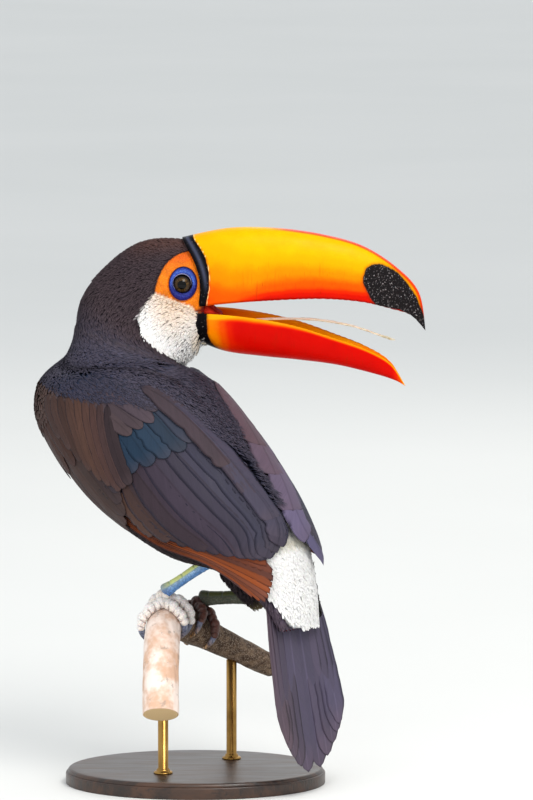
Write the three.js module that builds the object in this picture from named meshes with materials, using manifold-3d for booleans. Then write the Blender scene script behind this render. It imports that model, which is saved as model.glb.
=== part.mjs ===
// Toco toucan (Ramphastos toco), a life-size still model on a cut branch and a small display stand.
// Millimetres. +X is the way the bill points, +Z is up, -Y is the side that the bird's back turns to.
// The origin is the middle of the underside of the stand's base.
import * as THREE from "three";
import { mergeVertices } from "three/addons/utils/BufferGeometryUtils.js";
import Module from "manifold-3d";

const wasm = await Module();
wasm.setup();

// ---- driving dimensions ----

const GAP = 0.3; // clearance between neighbouring pieces
const DEG = Math.PI / 180;

// The bird's centre line from the bill's root (station 0) over the neck to the tail's root (last station).
// x, y, z: middle of the section. heading, pitch: the way its front faces, in degrees.
// wide: half-width. back, belly: half-heights above and below the middle.
// lift: height of the folded wing's underside over the skin.
// The head looks back over the right shoulder, so the heading turns by 138 degrees along the neck.
const STATIONS = [
  { x: 6, y: 46, z: 368, heading: 0, pitch: 3, wide: 17, back: 38.5, belly: 36, lift: 0 },
  { x: -20, y: 46, z: 364, heading: 0, pitch: 24, wide: 27, back: 45.4, belly: 44, lift: 0 },
  { x: -37, y: 46, z: 352, heading: 0, pitch: 43, wide: 31, back: 45.8, belly: 46, lift: 0 },
  { x: -46, y: 46, z: 338, heading: 2, pitch: 59, wide: 35, back: 46.6, belly: 45, lift: 0 },
  { x: -50.3, y: 45, z: 321.6, heading: 30, pitch: 72, wide: 40.2, back: 43.2, belly: 43, lift: 0 },
  { x: -55.3, y: 40, z: 305.5, heading: 95, pitch: 70, wide: 48.4, back: 44.8, belly: 46, lift: 0 },
  { x: -57, y: 28, z: 286, heading: 128, pitch: 56, wide: 55.4, back: 50.6, belly: 49.6, lift: 2 },
  { x: -26, y: 1, z: 248.7, heading: 138, pitch: 42, wide: 61, back: 53, belly: 54.6, lift: 2 },
  { x: 15.8, y: -29, z: 209, heading: 138, pitch: 44, wide: 54.6, back: 47.4, belly: 44.4, lift: 2 },
  { x: 47.4, y: -48, z: 184, heading: 138, pitch: 56, wide: 41.6, back: 31.8, belly: 30, lift: 3 },
  { x: 68, y: -56, z: 155, heading: 138, pitch: 72, wide: 29, back: 15, belly: 17, lift: 9 },
  { x: 78, y: -60, z: 126, heading: 138, pitch: 84, wide: 21, back: 5, belly: 5, lift: 12 },
];
const NECK_FROM = 3.4; // stations where the neck begins and ends
const NECK_TO = 5.6;
const CUT = 0.02; // width of the parting cuts, in stations
const BODY_SIDES = 26;

// Folded wing: rows from the shoulder to the tip. upper, lower: edges as angles from the back's midline.
// thick: greatest thickness of the folded feathers.
const WING_FROM = 5; // stations of the shoulder and of the wing's tip
const WING_TO = 9.9;
const WING = [
  { upper: 54, lower: 112, thick: 12.8 },
  { upper: 34, lower: 132, thick: 11 },
  { upper: 12, lower: 134, thick: 10.5 },
  { upper: 4, lower: 131, thick: 10 },
  { upper: 3, lower: 127, thick: 7.8 },
  { upper: 10, lower: 119, thick: 5 },
  { upper: 64, lower: 100, thick: 1.5 },
];
const FEATHER_EDGE = 0.9; // thickness at the wing's rim

// Bill: distances from its root at the mouth's corner. culmen is the ridge, edge is the cutting edge.
const BILL_ROOT = { x: 0, y: 46, z: 357 };
const HEAD_ROLL = 3; // degrees, right cheek down
const UPPER_BILL = [
  { edge: [3, 2.6], ridge: [-10, 52.5], wide: 20 },
  { edge: [25, 5], ridge: [25, 59.5], wide: 20 },
  { edge: [60, 7.4], ridge: [60, 59.5], wide: 18.5 },
  { edge: [95, 8.2], ridge: [95, 54.8], wide: 16.5 },
  { edge: [125, 5.5], ridge: [126, 46], wide: 14 },
  { edge: [148, -0.4], ridge: [152, 29.5], wide: 10.5 },
  { edge: [163, -6.2], ridge: [169, 10], wide: 6 },
  { edge: [174, -19], ridge: [174, -19], wide: 0 },
];
const LOWER_BILL = [
  { edge: [0, -2.6], ridge: [-1, -25], wide: 18.5 },
  { edge: [27, -4.4], ridge: [22, -34], wide: 18.5 },
  { edge: [54, -8.4], ridge: [50, -38], wide: 16.5 },
  { edge: [79, -14.2], ridge: [79, -41], wide: 14.5 },
  { edge: [103, -22.4], ridge: [108, -45], wide: 12 },
  { edge: [128, -31.8], ridge: [136, -52], wide: 8.5 },
  { edge: [147, -43.2], ridge: [151, -57], wide: 5 },
  { edge: [159, -61.5], ridge: [159, -61.5], wide: 0 },
];
const BROW_CURVE = 6; // how far the feathered forehead skin bulges over the upper bill's root
const PALATE = 6; // depth of the upper bill's hollow
const TROUGH = 10; // depth of the lower bill's hollow
const WALL_FULLNESS = 0.9; // powers that make the bill's section fuller than an ellipse
const WALL_FLATNESS = 0.75;

// Mouth lining: a wedge of skin between the two halves of the bill, thin at its front edge.
const LINING = { back: 6, length: 18, up: -0.2, drop: 1.2 };
const LINING_WIDE = { half: 17, narrows: 3 };
const LINING_HIGH = { half: 6, thins: 5 };

// Tongue: a thin blade that rises out of the lower bill, frayed towards its tip.
const TONGUE = [
  [22, -13],
  [46, -10.5],
  [71, -9.7],
  [96, -11.2],
  [121, -16],
  [148, -26],
];
const TONGUE_WIDTH = 8;
const TONGUE_THICK = 1.6;
const TONGUE_TAPER = 0.9; // share of the section's square that is gone at the tip

const EYE = { forward: -10, side: 17.6, up: 20, radius: 8.2 };

// Tail: a shallow arched fan of graduated feathers.
const TAIL_ROOT = new THREE.Vector3(74, -57, 152);
const TAIL_TIP = new THREE.Vector3(93, -67, 20);
const TAIL_RIGHT = new THREE.Vector3(0.66, 0.73, 0.14).normalize();
const TAIL_HALF_WIDTH = [29, 31, 33, 34.5, 33];
const TAIL_ARCH = 4;
const TAIL_THICK = [5, 3.4, 2.4, 1.6, 1];
const TAIL_STEP = 0.27; // part of the length by which the outer feathers are shorter

// Perch: a curved piece of branch, sawn at both ends, from the near end to the far end.
const PERCH = [
  [-25, -70, 64],
  [-25, -47, 103],
  [-21, -16, 126],
  [-2, 9, 116],
  [26, 32, 99],
  [58, 52, 80],
];
const PERCH_RADIUS = [13.4, 13.3, 13.2, 12.2, 10, 8.5];
const PERCH_SIDES = 14;

// Legs: the foot's joint on the branch as a distance along it, the ankle, and the thigh's top in the belly.
const LEGS = [
  { side: "left", grip: 1.95, ankle: [15, -32, 176.5], thigh: [12, -24, 193], reach: 14 },
  { side: "right", grip: 2.95, ankle: [48, -5, 143], thigh: [27, -8, 174], reach: 14.5 },
];
const SHANK = [5.2, 4.4, 4.2, 4.7, 5.6]; // radius of the bare shank from foot to ankle
const SHANK_SLIMNESS = 0.85; // its width over its depth
const THIGH = { below: 0.12, length: 1.25, knee: 0.4 }; // start below the ankle, length, slimness there
const FOOT_HIGH = 11; // height of the foot's joint over the bark
const HUB = { radius: 6.5, top: 4.7, height: 2.2 }; // the ball of the foot, where the toes meet
const TOE = { radius: 4.2, tip: 3.2, pads: 3, bulge: 0.07, rootSpread: 0.25 };
const CLAW = { radius: 2.5, tip: 0.5, turn: 48, start: 4.5, splay: 1.05 };
// Two toes grip forwards and two backwards. spread: how far along the branch. turn: degrees round it.
const TOES = [
  { spread: -0.34, turn: -88 },
  { spread: 0.2, turn: -100 },
  { spread: -0.24, turn: 78 },
  { spread: 0.32, turn: 98 },
];

// Stand: an oval base and two rods up to the perch.
const BASE = { length: 196, width: 146, thick: 12, bevel: 2.5 };
const ROD = { radius: 4, length: 120 }; // before it is cut under the branch
const RODS = [
  { x: -24, y: -28 },
  { x: 27, y: 33 },
];

// ---- smooth interpolation ----

// Catmull-Rom value through equally spaced keys.
function through(values, at) {
  const last = values.length - 1;
  const i = Math.min(Math.max(Math.floor(at), 0), last - 1);
  const t = at - i;
  const a = values[Math.max(i - 1, 0)];
  const b = values[i];
  const c = values[i + 1];
  const d = values[Math.min(i + 2, last)];
  return b + 0.5 * t * (c - a + t * (2 * a - 5 * b + 4 * c - d + t * (3 * (b - c) + d - a)));
}
const column = (rows, name, at) => through(rows.map((row) => row[name]), at);
const pair = (rows, name, at) => [0, 1].map((k) => through(rows.map((row) => row[name][k]), at));
const point = (rows, at) => {
  return new THREE.Vector3(...[0, 1, 2].map((k) => through(rows.map((row) => row[k]), at)));
};
const spread = (values, part) => through(values, part * (values.length - 1));

// ---- closed surfaces ----

// Skins a list of rings, each a closed loop of points, and closes both ends with fans.
function loft(rings) {
  const sides = rings[0].length;
  const points = rings.flat();
  const faces = [];
  for (let r = 0; r + 1 < rings.length; r++) {
    for (let i = 0; i < sides; i++) {
      const j = (i + 1) % sides;
      const a = r * sides + i;
      const b = r * sides + j;
      faces.push(a, b, b + sides, a, b + sides, a + sides);
    }
  }
  for (const end of [0, rings.length - 1]) {
    const middle = new THREE.Vector3();
    rings[end].forEach((p) => middle.addScaledVector(p, 1 / sides));
    points.push(middle);
    for (let i = 0; i < sides; i++) {
      const a = end * sides + i;
      const b = end * sides + ((i + 1) % sides);
      faces.push(...(end === 0 ? [b, a, points.length - 1] : [a, b, points.length - 1]));
    }
  }
  const geometry = new THREE.BufferGeometry().setFromPoints(points);
  geometry.setIndex(faces);
  return facingOut(geometry);
}

// A thin closed solid between two grids of points of the same size, with walls round its rim.
function slab(over, under) {
  const rows = over.length;
  const columns = over[0].length;
  const points = [...over.flat(), ...under.flat()];
  const lower = rows * columns;
  const faces = [];
  const quad = (a, b, c, d) => faces.push(a, b, c, a, c, d);
  for (let r = 0; r + 1 < rows; r++) {
    for (let i = 0; i + 1 < columns; i++) {
      const a = r * columns + i;
      quad(a, a + 1, a + columns + 1, a + columns);
      quad(lower + a, lower + a + columns, lower + a + columns + 1, lower + a + 1);
    }
  }
  const rim = [];
  for (let i = 0; i < columns; i++) rim.push(i);
  for (let r = 1; r < rows; r++) rim.push(r * columns + columns - 1);
  for (let i = columns - 2; i >= 0; i--) rim.push((rows - 1) * columns + i);
  for (let r = rows - 2; r > 0; r--) rim.push(r * columns);
  rim.forEach((a, n) => {
    const b = rim[(n + 1) % rim.length];
    quad(b, a, lower + a, lower + b);
  });
  const geometry = new THREE.BufferGeometry().setFromPoints(points);
  geometry.setIndex(faces);
  return facingOut(geometry);
}

// Merges shared points, drops collapsed faces and turns the faces outwards.
function facingOut(geometry) {
  const merged = mergeVertices(geometry, 1e-3);
  const index = merged.index.array;
  const position = merged.getAttribute("position");
  const kept = [];
  let volume = 0;
  const p = [0, 1, 2].map(() => new THREE.Vector3());
  for (let f = 0; f < index.length; f += 3) {
    const [a, b, c] = [index[f], index[f + 1], index[f + 2]];
    if (a === b || b === c || a === c) continue;
    kept.push(a, b, c);
    [a, b, c].forEach((n, k) => p[k].fromBufferAttribute(position, n));
    volume += p[0].dot(p[1].clone().cross(p[2]));
  }
  if (volume < 0) {
    for (let f = 0; f < kept.length; f += 3) {
      [kept[f + 1], kept[f + 2]] = [kept[f + 2], kept[f + 1]];
    }
  }
  merged.setIndex(kept);
  return merged;
}

// A tube along path(part) whose section is an oval: wide along side(part), high across it.
function tube(path, side, wide, high, sides, steps) {
  const rings = [];
  for (let r = 0; r <= steps; r++) {
    const part = r / steps;
    const along = path(Math.min(part + 0.01, 1)).sub(path(Math.max(part - 0.01, 0))).normalize();
    const across = side(part).addScaledVector(along, -side(part).dot(along)).normalize();
    const rise = across.clone().cross(along);
    const ring = [];
    for (let i = 0; i < sides; i++) {
      const turn = (2 * Math.PI * i) / sides;
      const p = path(part).addScaledVector(across, wide(part) * Math.cos(turn));
      ring.push(p.addScaledVector(rise, high(part) * Math.sin(turn)));
    }
    rings.push(ring);
  }
  return loft(rings);
}

function solid(geometry) {
  return new wasm.Manifold(
    new wasm.Mesh({
      numProp: 3,
      vertProperties: geometry.getAttribute("position").array,
      triVerts: new Uint32Array(geometry.index.array),
    }),
  );
}

function fromSolid(body) {
  const mesh = body.getMesh();
  const geometry = new THREE.BufferGeometry();
  geometry.setAttribute("position", new THREE.BufferAttribute(mesh.vertProperties, 3));
  geometry.setIndex(new THREE.BufferAttribute(mesh.triVerts, 1));
  return geometry;
}

function carve(geometry, ...cutters) {
  return fromSolid(cutters.reduce((body, cutter) => body.subtract(solid(cutter)), solid(geometry)));
}

function join(...geometries) {
  return fromSolid(geometries.map(solid).reduce((body, other) => body.add(other)));
}

// ---- body ----

// Section of the body at a station: its middle, the ways it faces, and its sizes.
function section(at) {
  const heading = column(STATIONS, "heading", at) * DEG;
  const pitch = column(STATIONS, "pitch", at) * DEG;
  const [ch, sh, cp, sp] = [Math.cos(heading), Math.sin(heading), Math.cos(pitch), Math.sin(pitch)];
  return {
    middle: new THREE.Vector3(...["x", "y", "z"].map((axis) => column(STATIONS, axis, at))),
    up: new THREE.Vector3(-ch * sp, -sh * sp, cp),
    right: new THREE.Vector3(sh, -ch, 0),
    heading,
    wide: column(STATIONS, "wide", at),
    back: column(STATIONS, "back", at),
    belly: column(STATIONS, "belly", at),
  };
}

// A point over the skin: angle 0 is the midline of the back, a quarter turn is the right side.
function skinPoint(at, angle, outwards) {
  const s = section(at);
  const high = Math.cos(angle) > 0 ? s.back : s.belly;
  return s.middle
    .clone()
    .addScaledVector(s.right, Math.sin(angle) * (s.wide + outwards))
    .addScaledVector(s.up, Math.cos(angle) * (high + outwards));
}

function bodyLoft(from, to, steps, outwards = 0) {
  const rings = [];
  for (let r = 0; r <= steps; r++) {
    const at = from + ((to - from) * r) / steps;
    const turn = section(at).heading;
    const ring = [];
    for (let i = 0; i < BODY_SIDES; i++) {
      ring.push(skinPoint(at, (2 * Math.PI * i) / BODY_SIDES - turn, outwards));
    }
    rings.push(ring);
  }
  return loft(rings);
}

// A folded wing: a shell of feathers over the flank. side is 1 for the right wing and -1 for the left.
function wingLoft(side, outwards = 0) {
  const steps = 15;
  const across = 8;
  const over = [];
  const under = [];
  for (let r = 0; r <= steps; r++) {
    const part = r / steps;
    const at = WING_FROM + (WING_TO - WING_FROM) * part;
    const row = part * (WING.length - 1);
    const [upper, lower, thick] = ["upper", "lower", "thick"].map((name) => column(WING, name, row));
    const lift = column(STATIONS, "lift", at) + GAP;
    const b = [...Array(across + 1).keys()].map((i) => i / across);
    const angle = b.map((share) => side * (upper + (lower - upper) * share) * DEG);
    const deep = b.map((share) => FEATHER_EDGE + thick * Math.sqrt(Math.sin(Math.PI * share)));
    over.push(angle.map((turn, i) => skinPoint(at, turn, lift + deep[i] + outwards)));
    under.push(angle.map((turn) => skinPoint(at, turn, lift - outwards)));
  }
  return slab(over, under);
}

// ---- bill, tongue and eyes ----

// A point of the head from the bill's root: forwards, to the bird's left, and up.
function headPoint(forward, left, up) {
  const roll = HEAD_ROLL * DEG;
  return new THREE.Vector3(
    BILL_ROOT.x + forward,
    BILL_ROOT.y + left * Math.cos(roll) - up * Math.sin(roll),
    BILL_ROOT.z + up * Math.cos(roll) + left * Math.sin(roll),
  );
}

// One half of the bill: the outer wall from one cutting edge over the ridge to the other, then the hollow.
function billLoft(rows, steps, depth, curve, outwards = 0) {
  const rings = [];
  const wall = 12;
  const hollow = 4;
  for (let r = 0; r <= steps; r++) {
    const at = ((rows.length - 1) * r) / steps;
    const edge = pair(rows, "edge", at);
    const ridge = pair(rows, "ridge", at);
    const tall = Math.hypot(ridge[0] - edge[0], ridge[1] - edge[1]) + 1e-6;
    const wide = Math.max(column(rows, "wide", at), 0);
    const root = curve * Math.max(0, 1 - at) ** 2;
    const shift = r === 0 ? -outwards : 0;
    const place = (rise, left) =>
      headPoint(
        edge[0] + (ridge[0] - edge[0]) * rise + root * 4 * rise * Math.max(0, 1 - rise) + shift,
        left,
        edge[1] + (ridge[1] - edge[1]) * rise,
      );
    const ring = [];
    for (let i = 0; i <= wall; i++) {
      const turn = (Math.PI * i) / wall;
      const [c, s] = [Math.cos(turn), Math.sin(turn)];
      const rise = (s ** WALL_FULLNESS * (tall + 2 * outwards) - outwards) / tall;
      const left = -(wide + outwards) * Math.sign(c) * Math.abs(c) ** WALL_FLATNESS;
      ring.push(place(rise, left));
    }
    const sink = Math.min(depth, tall * 0.4) * Math.min(1, wide / 10);
    for (let i = 1; i < hollow; i++) {
      const b = 1 - (2 * i) / hollow;
      ring.push(place((sink * (1 - b * b) - outwards) / tall, wide * b));
    }
    rings.push(ring);
  }
  return loft(rings);
}
const upperBill = (outwards) => billLoft(UPPER_BILL, 18, PALATE, BROW_CURVE, outwards);
const lowerBill = (outwards) => billLoft(LOWER_BILL, 16, TROUGH, 0, outwards);

const leftwards = () => headPoint(0, 1, 0).sub(headPoint(0, 0, 0));

function tongueBlade(outwards = 0) {
  const [forward, up] = [0, 1].map((k) => TONGUE.map((row) => row[k]));
  const taper = (part) => Math.sqrt(1 - TONGUE_TAPER * part * part);
  return tube(
    (part) => headPoint(spread(forward, part), 0, spread(up, part)),
    leftwards,
    (part) => (TONGUE_WIDTH / 2) * taper(part) + outwards,
    (part) => (TONGUE_THICK / 2) * taper(part) + outwards,
    8,
    12,
  );
}

// The red skin of the mouth's corners and throat, between the two halves of the bill.
function mouthLining(outwards = 0) {
  const { back, length, up, drop } = LINING;
  return tube(
    (part) => headPoint(back - outwards + length * part, 0, up - drop * part),
    leftwards,
    (part) => LINING_WIDE.half - LINING_WIDE.narrows * part + outwards,
    (part) => LINING_HIGH.half - LINING_HIGH.thins * part + outwards,
    14,
    3,
  );
}

function eyeBall(side, outwards = 0) {
  const ball = new THREE.SphereGeometry(EYE.radius + outwards, 12, 8);
  ball.deleteAttribute("normal");
  ball.deleteAttribute("uv");
  const place = headPoint(EYE.forward, side * EYE.side, EYE.up);
  return facingOut(ball.translate(place.x, place.y, place.z));
}

// ---- tail ----

function tailFan(outwards = 0) {
  const steps = 10;
  const across = 8;
  const along = TAIL_TIP.clone().sub(TAIL_ROOT);
  const up = TAIL_RIGHT.clone().cross(along).normalize();
  const over = [];
  const under = [];
  for (let r = 0; r <= steps; r++) {
    const part = r / steps;
    const half = spread(TAIL_HALF_WIDTH, part) + outwards;
    const thick = spread(TAIL_THICK, part) / 2 + outwards;
    const middles = [...Array(across + 1).keys()].map((i) => {
      const b = (2 * i) / across - 1;
      const reach = part * (1 - TAIL_STEP * b * b * part);
      const p = TAIL_ROOT.clone().addScaledVector(along, reach).addScaledVector(TAIL_RIGHT, half * b);
      return p.addScaledVector(up, TAIL_ARCH * (1 - b * b));
    });
    over.push(middles.map((p) => p.clone().addScaledVector(up, thick)));
    under.push(middles.map((p) => p.clone().addScaledVector(up, -thick)));
  }
  return slab(over, under);
}

// ---- perch, legs and feet ----

// A point around the branch: turn 0 is on top, and a positive turn goes towards the bird's tail side.
function barkPoint(at, turn, outwards) {
  const along = point(PERCH, at + 0.05).sub(point(PERCH, at - 0.05)).normalize();
  const top = new THREE.Vector3(0, 0, 1).addScaledVector(along, -along.z).normalize();
  const side = along.clone().cross(top);
  const radius = through(PERCH_RADIUS, at) + outwards;
  return point(PERCH, at)
    .addScaledVector(top, radius * Math.cos(turn))
    .addScaledVector(side, radius * Math.sin(turn));
}

function perchBranch(outwards = 0) {
  const steps = 12;
  const rings = [];
  for (let r = 0; r <= steps; r++) {
    const at = ((PERCH.length - 1) * r) / steps;
    const ring = [];
    for (let i = 0; i < PERCH_SIDES; i++) {
      ring.push(barkPoint(at, (2 * Math.PI * i) / PERCH_SIDES, outwards));
    }
    rings.push(ring);
  }
  return loft(rings);
}

// A toe or claw lies round the branch from one turn to another, while it spreads along the branch.
function gripTube(grip, spreadFrom, spreadTo, from, to, radius, sides, steps) {
  const at = (part) => grip + spreadFrom + (spreadTo - spreadFrom) * part;
  const turn = (part) => (from + (to - from) * part) * DEG;
  const path = (part) => barkPoint(at(part), turn(part), radius(part) + GAP);
  const side = (part) => {
    return barkPoint(at(part) + 0.1, turn(part), 0).sub(barkPoint(at(part) - 0.1, turn(part), 0));
  };
  return tube(path, side, radius, radius, sides, steps);
}

function toeTube(grip, toe) {
  const radius = (part) => {
    const pad = 1 + TOE.bulge * Math.cos(2 * Math.PI * TOE.pads * part);
    return (TOE.radius + (TOE.tip - TOE.radius) * part) * pad;
  };
  return gripTube(grip, toe.spread * TOE.rootSpread, toe.spread, 0, toe.turn, radius, 6, 10);
}

function clawTube(grip, toe) {
  const way = Math.sign(toe.turn);
  const radius = (part) => CLAW.tip + (CLAW.radius - CLAW.tip) * Math.sqrt(1 - part);
  const from = toe.turn + way * CLAW.start;
  return gripTube(grip, toe.spread, toe.spread * CLAW.splay, from, from + way * CLAW.turn, radius, 6, 5);
}

const footJoint = (leg) => barkPoint(leg.grip, 0, FOOT_HIGH);

function footWithToes(leg) {
  const size = (part) => HUB.radius + (HUB.top - HUB.radius) * part;
  const hub = tube(
    (part) => barkPoint(leg.grip, 0, HUB.height).lerp(footJoint(leg), part),
    () => new THREE.Vector3(1, 0, 0),
    size,
    size,
    8,
    2,
  );
  return join(hub, ...TOES.map((toe) => toeTube(leg.grip, toe)));
}

function shankTube(leg, outwards = 0) {
  return tube(
    (part) => footJoint(leg).lerp(new THREE.Vector3(...leg.ankle), part),
    () => new THREE.Vector3(0, 0, 1),
    (part) => spread(SHANK, part) + outwards,
    (part) => spread(SHANK, part) * SHANK_SLIMNESS + outwards,
    8,
    6,
  );
}

// The feathered thigh: it starts just below the ankle and ends inside the belly's plumage.
function thighTube(leg) {
  const { below, length, knee } = THIGH;
  const reach = (part) => leg.reach * Math.sqrt(knee + (1 - knee) * part);
  const top = new THREE.Vector3(...leg.thigh);
  const path = (part) => new THREE.Vector3(...leg.ankle).lerp(top, part * length - below);
  return tube(path, () => new THREE.Vector3(1, 0, 0), reach, reach, 12, 6);
}

// ---- stand ----

function ovalBase() {
  const { length, thick, bevel } = BASE;
  const half = length / 2;
  const profile = [
    [0, 0],
    [half, 0],
    [half, thick - bevel],
    [half - bevel, thick],
    [0, thick],
  ].map(([r, z]) => new THREE.Vector2(r, z));
  const base = new THREE.LatheGeometry(profile, 36).rotateX(Math.PI / 2);
  base.deleteAttribute("normal");
  base.deleteAttribute("uv");
  return facingOut(base.scale(1, BASE.width / BASE.length, 1));
}

function standRod({ x, y }, perch) {
  const rod = new THREE.CylinderGeometry(ROD.radius, ROD.radius, ROD.length, 14).rotateX(Math.PI / 2);
  rod.deleteAttribute("normal");
  rod.deleteAttribute("uv");
  const whole = carve(facingOut(rod.translate(x, y, BASE.thick + GAP + ROD.length / 2)), perch);
  return lowestPiece(solid(whole));
}

// A rod that passes the branch is cut in two: the piece under the branch is kept.
function lowestPiece(body) {
  const pieces = body.decompose();
  pieces.sort((a, b) => a.boundingBox().min[2] - b.boundingBox().min[2]);
  return fromSolid(pieces[0]);
}

// ---- the scene ----

const toucan = new THREE.Group();

function add(name, geometry, colour, roughness, metalness = 0) {
  const material = new THREE.MeshStandardMaterial({ color: colour, roughness, metalness });
  const mesh = new THREE.Mesh(geometry, material);
  mesh.name = name;
  toucan.add(mesh);
}

const wings = { left: -1, right: 1 };
const billRoom = [upperBill(GAP), lowerBill(GAP)];
const eyeRoom = [eyeBall(-1, GAP), eyeBall(1, GAP)];
const wingRoom = [wingLoft(-1, GAP), wingLoft(1, GAP)];
const shankRoom = LEGS.map((leg) => shankTube(leg, GAP));
const TAIL_STATION = STATIONS.length - 1;
const head = bodyLoft(0, NECK_FROM, 10);
const neck = bodyLoft(NECK_FROM + CUT, NECK_TO, 5);
const trunk = bodyLoft(NECK_TO + CUT, TAIL_STATION, 16);

add("bill_upper", upperBill(0), "#ff9d00", 0.4);
add("bill_lower", carve(lowerBill(0), tongueBlade(GAP)), "#f03a08", 0.4);
add("tongue", tongueBlade(), "#e8d8b8", 0.6);
add("mouth_lining", carve(mouthLining(), ...billRoom, tongueBlade(GAP)), "#d8301a", 0.5);
add("head", carve(head, ...billRoom, ...eyeRoom, mouthLining(GAP)), "#2a2224", 0.9);
add("neck", carve(neck, ...wingRoom), "#2a2428", 0.9);
add("trunk", carve(trunk, ...wingRoom, ...shankRoom, tailFan(GAP)), "#353340", 0.9);
for (const [side, way] of Object.entries(wings)) {
  add(`wing_${side}`, wingLoft(way), "#3d3c48", 0.8);
  add(`eye_${side}`, eyeBall(-way), "#3a2a18", 0.1);
}
add("tail", tailFan(), "#3b3644", 0.8);
const bodyRoom = [bodyLoft(NECK_TO, TAIL_STATION, 16, GAP), ...wingRoom, ...shankRoom];
for (const leg of LEGS) {
  add(`foot_${leg.side}`, carve(footWithToes(leg), ...shankRoom), "#b9a893", 0.7);
  add(`shank_${leg.side}`, shankTube(leg), "#5f7590", 0.6);
  add(`thigh_${leg.side}`, carve(thighTube(leg), ...bodyRoom), "#151316", 0.95);
  TOES.forEach((toe, n) => add(`claw_${leg.side}_${n + 1}`, clawTube(leg.grip, toe), "#4a4a52", 0.4));
}
add("perch", perchBranch(), "#b79a7c", 0.9);
add("stand_base", ovalBase(), "#2b2622", 0.5);
RODS.forEach((rod, n) => add(`stand_rod_${n + 1}`, standRod(rod, perchBranch(GAP)), "#b08d4a", 0.35, 0.9));

export default toucan;
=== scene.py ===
"""A life-size still model of a toco toucan, gripping a cut branch on a small display stand.

Lengths are in millimetres until put() turns them into the frame's metres. +X is the way the bill points,
+Z is up, and -Y is the side from which the camera sees the bird's back.
"""

import bpy
import numpy as np
from mathutils import Matrix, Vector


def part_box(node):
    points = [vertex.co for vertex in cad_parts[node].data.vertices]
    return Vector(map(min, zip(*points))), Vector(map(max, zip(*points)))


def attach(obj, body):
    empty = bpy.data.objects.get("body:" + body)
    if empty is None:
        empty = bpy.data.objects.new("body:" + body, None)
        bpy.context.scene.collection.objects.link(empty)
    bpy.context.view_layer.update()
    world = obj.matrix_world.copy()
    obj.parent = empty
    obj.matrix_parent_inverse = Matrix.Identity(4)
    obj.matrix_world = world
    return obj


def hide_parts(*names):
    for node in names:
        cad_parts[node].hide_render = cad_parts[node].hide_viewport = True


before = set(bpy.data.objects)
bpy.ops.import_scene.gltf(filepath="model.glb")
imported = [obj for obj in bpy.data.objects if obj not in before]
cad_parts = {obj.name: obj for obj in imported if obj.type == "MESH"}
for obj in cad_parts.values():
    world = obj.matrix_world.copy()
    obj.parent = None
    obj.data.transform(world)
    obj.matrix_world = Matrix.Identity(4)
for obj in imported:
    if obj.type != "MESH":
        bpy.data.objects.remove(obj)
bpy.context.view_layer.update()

# ---- Stand base ----
# A flat oval plate of dark stained oak, turned with a rounded edge and a shallow step, with a satin
# varnish. It lies loose on the table and carries the two rods.
MM = 0.001


def tint(code):
    """The linear colour of a screen colour code such as #ff9900, deepened unless it is near white."""
    share = np.array([int(code[i : i + 2], 16) for i in (1, 3, 5)]) / 255
    linear = np.where(share > 0.04045, ((share + 0.055) / 1.055) ** 2.4, share / 12.92)
    linear = linear * (0.76 + 0.24 * linear.min() ** 0.5)
    return (*linear.tolist(), 1.0)


def rgb(code):
    """The linear colour of a colour code as an array of three numbers."""
    return np.array(tint(code)[:3])


def closed_faces(rows, sides, copies=1):
    """Faces of closed tubes of rows rings of sides points, each with a pole after its rings at either end.

    Quads join each ring to the next one, and a fan of triangles joins the first and last ring to their poles.
    """
    each = rows * sides + 2
    row, side = np.meshgrid(np.arange(rows - 1), np.arange(sides), indexing="ij")
    after = (side + 1) % sides
    here, below = row * sides, (row + 1) * sides
    quads = np.stack([here + side, below + side, below + after, here + after], -1)
    ring = np.arange(sides)
    turn = (ring + 1) % sides
    last = (rows - 1) * sides
    first_fan = np.stack([ring, turn, np.full(sides, each - 2)], -1)
    last_fan = np.stack([last + turn, last + ring, np.full(sides, each - 1)], -1)
    shift = np.arange(copies)[:, None, None] * each
    return [
        (quads.reshape(1, -1, 4) + shift).reshape(-1, 4),
        (np.concatenate([first_fan, last_fan])[None] + shift).reshape(-1, 3),
    ]


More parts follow.
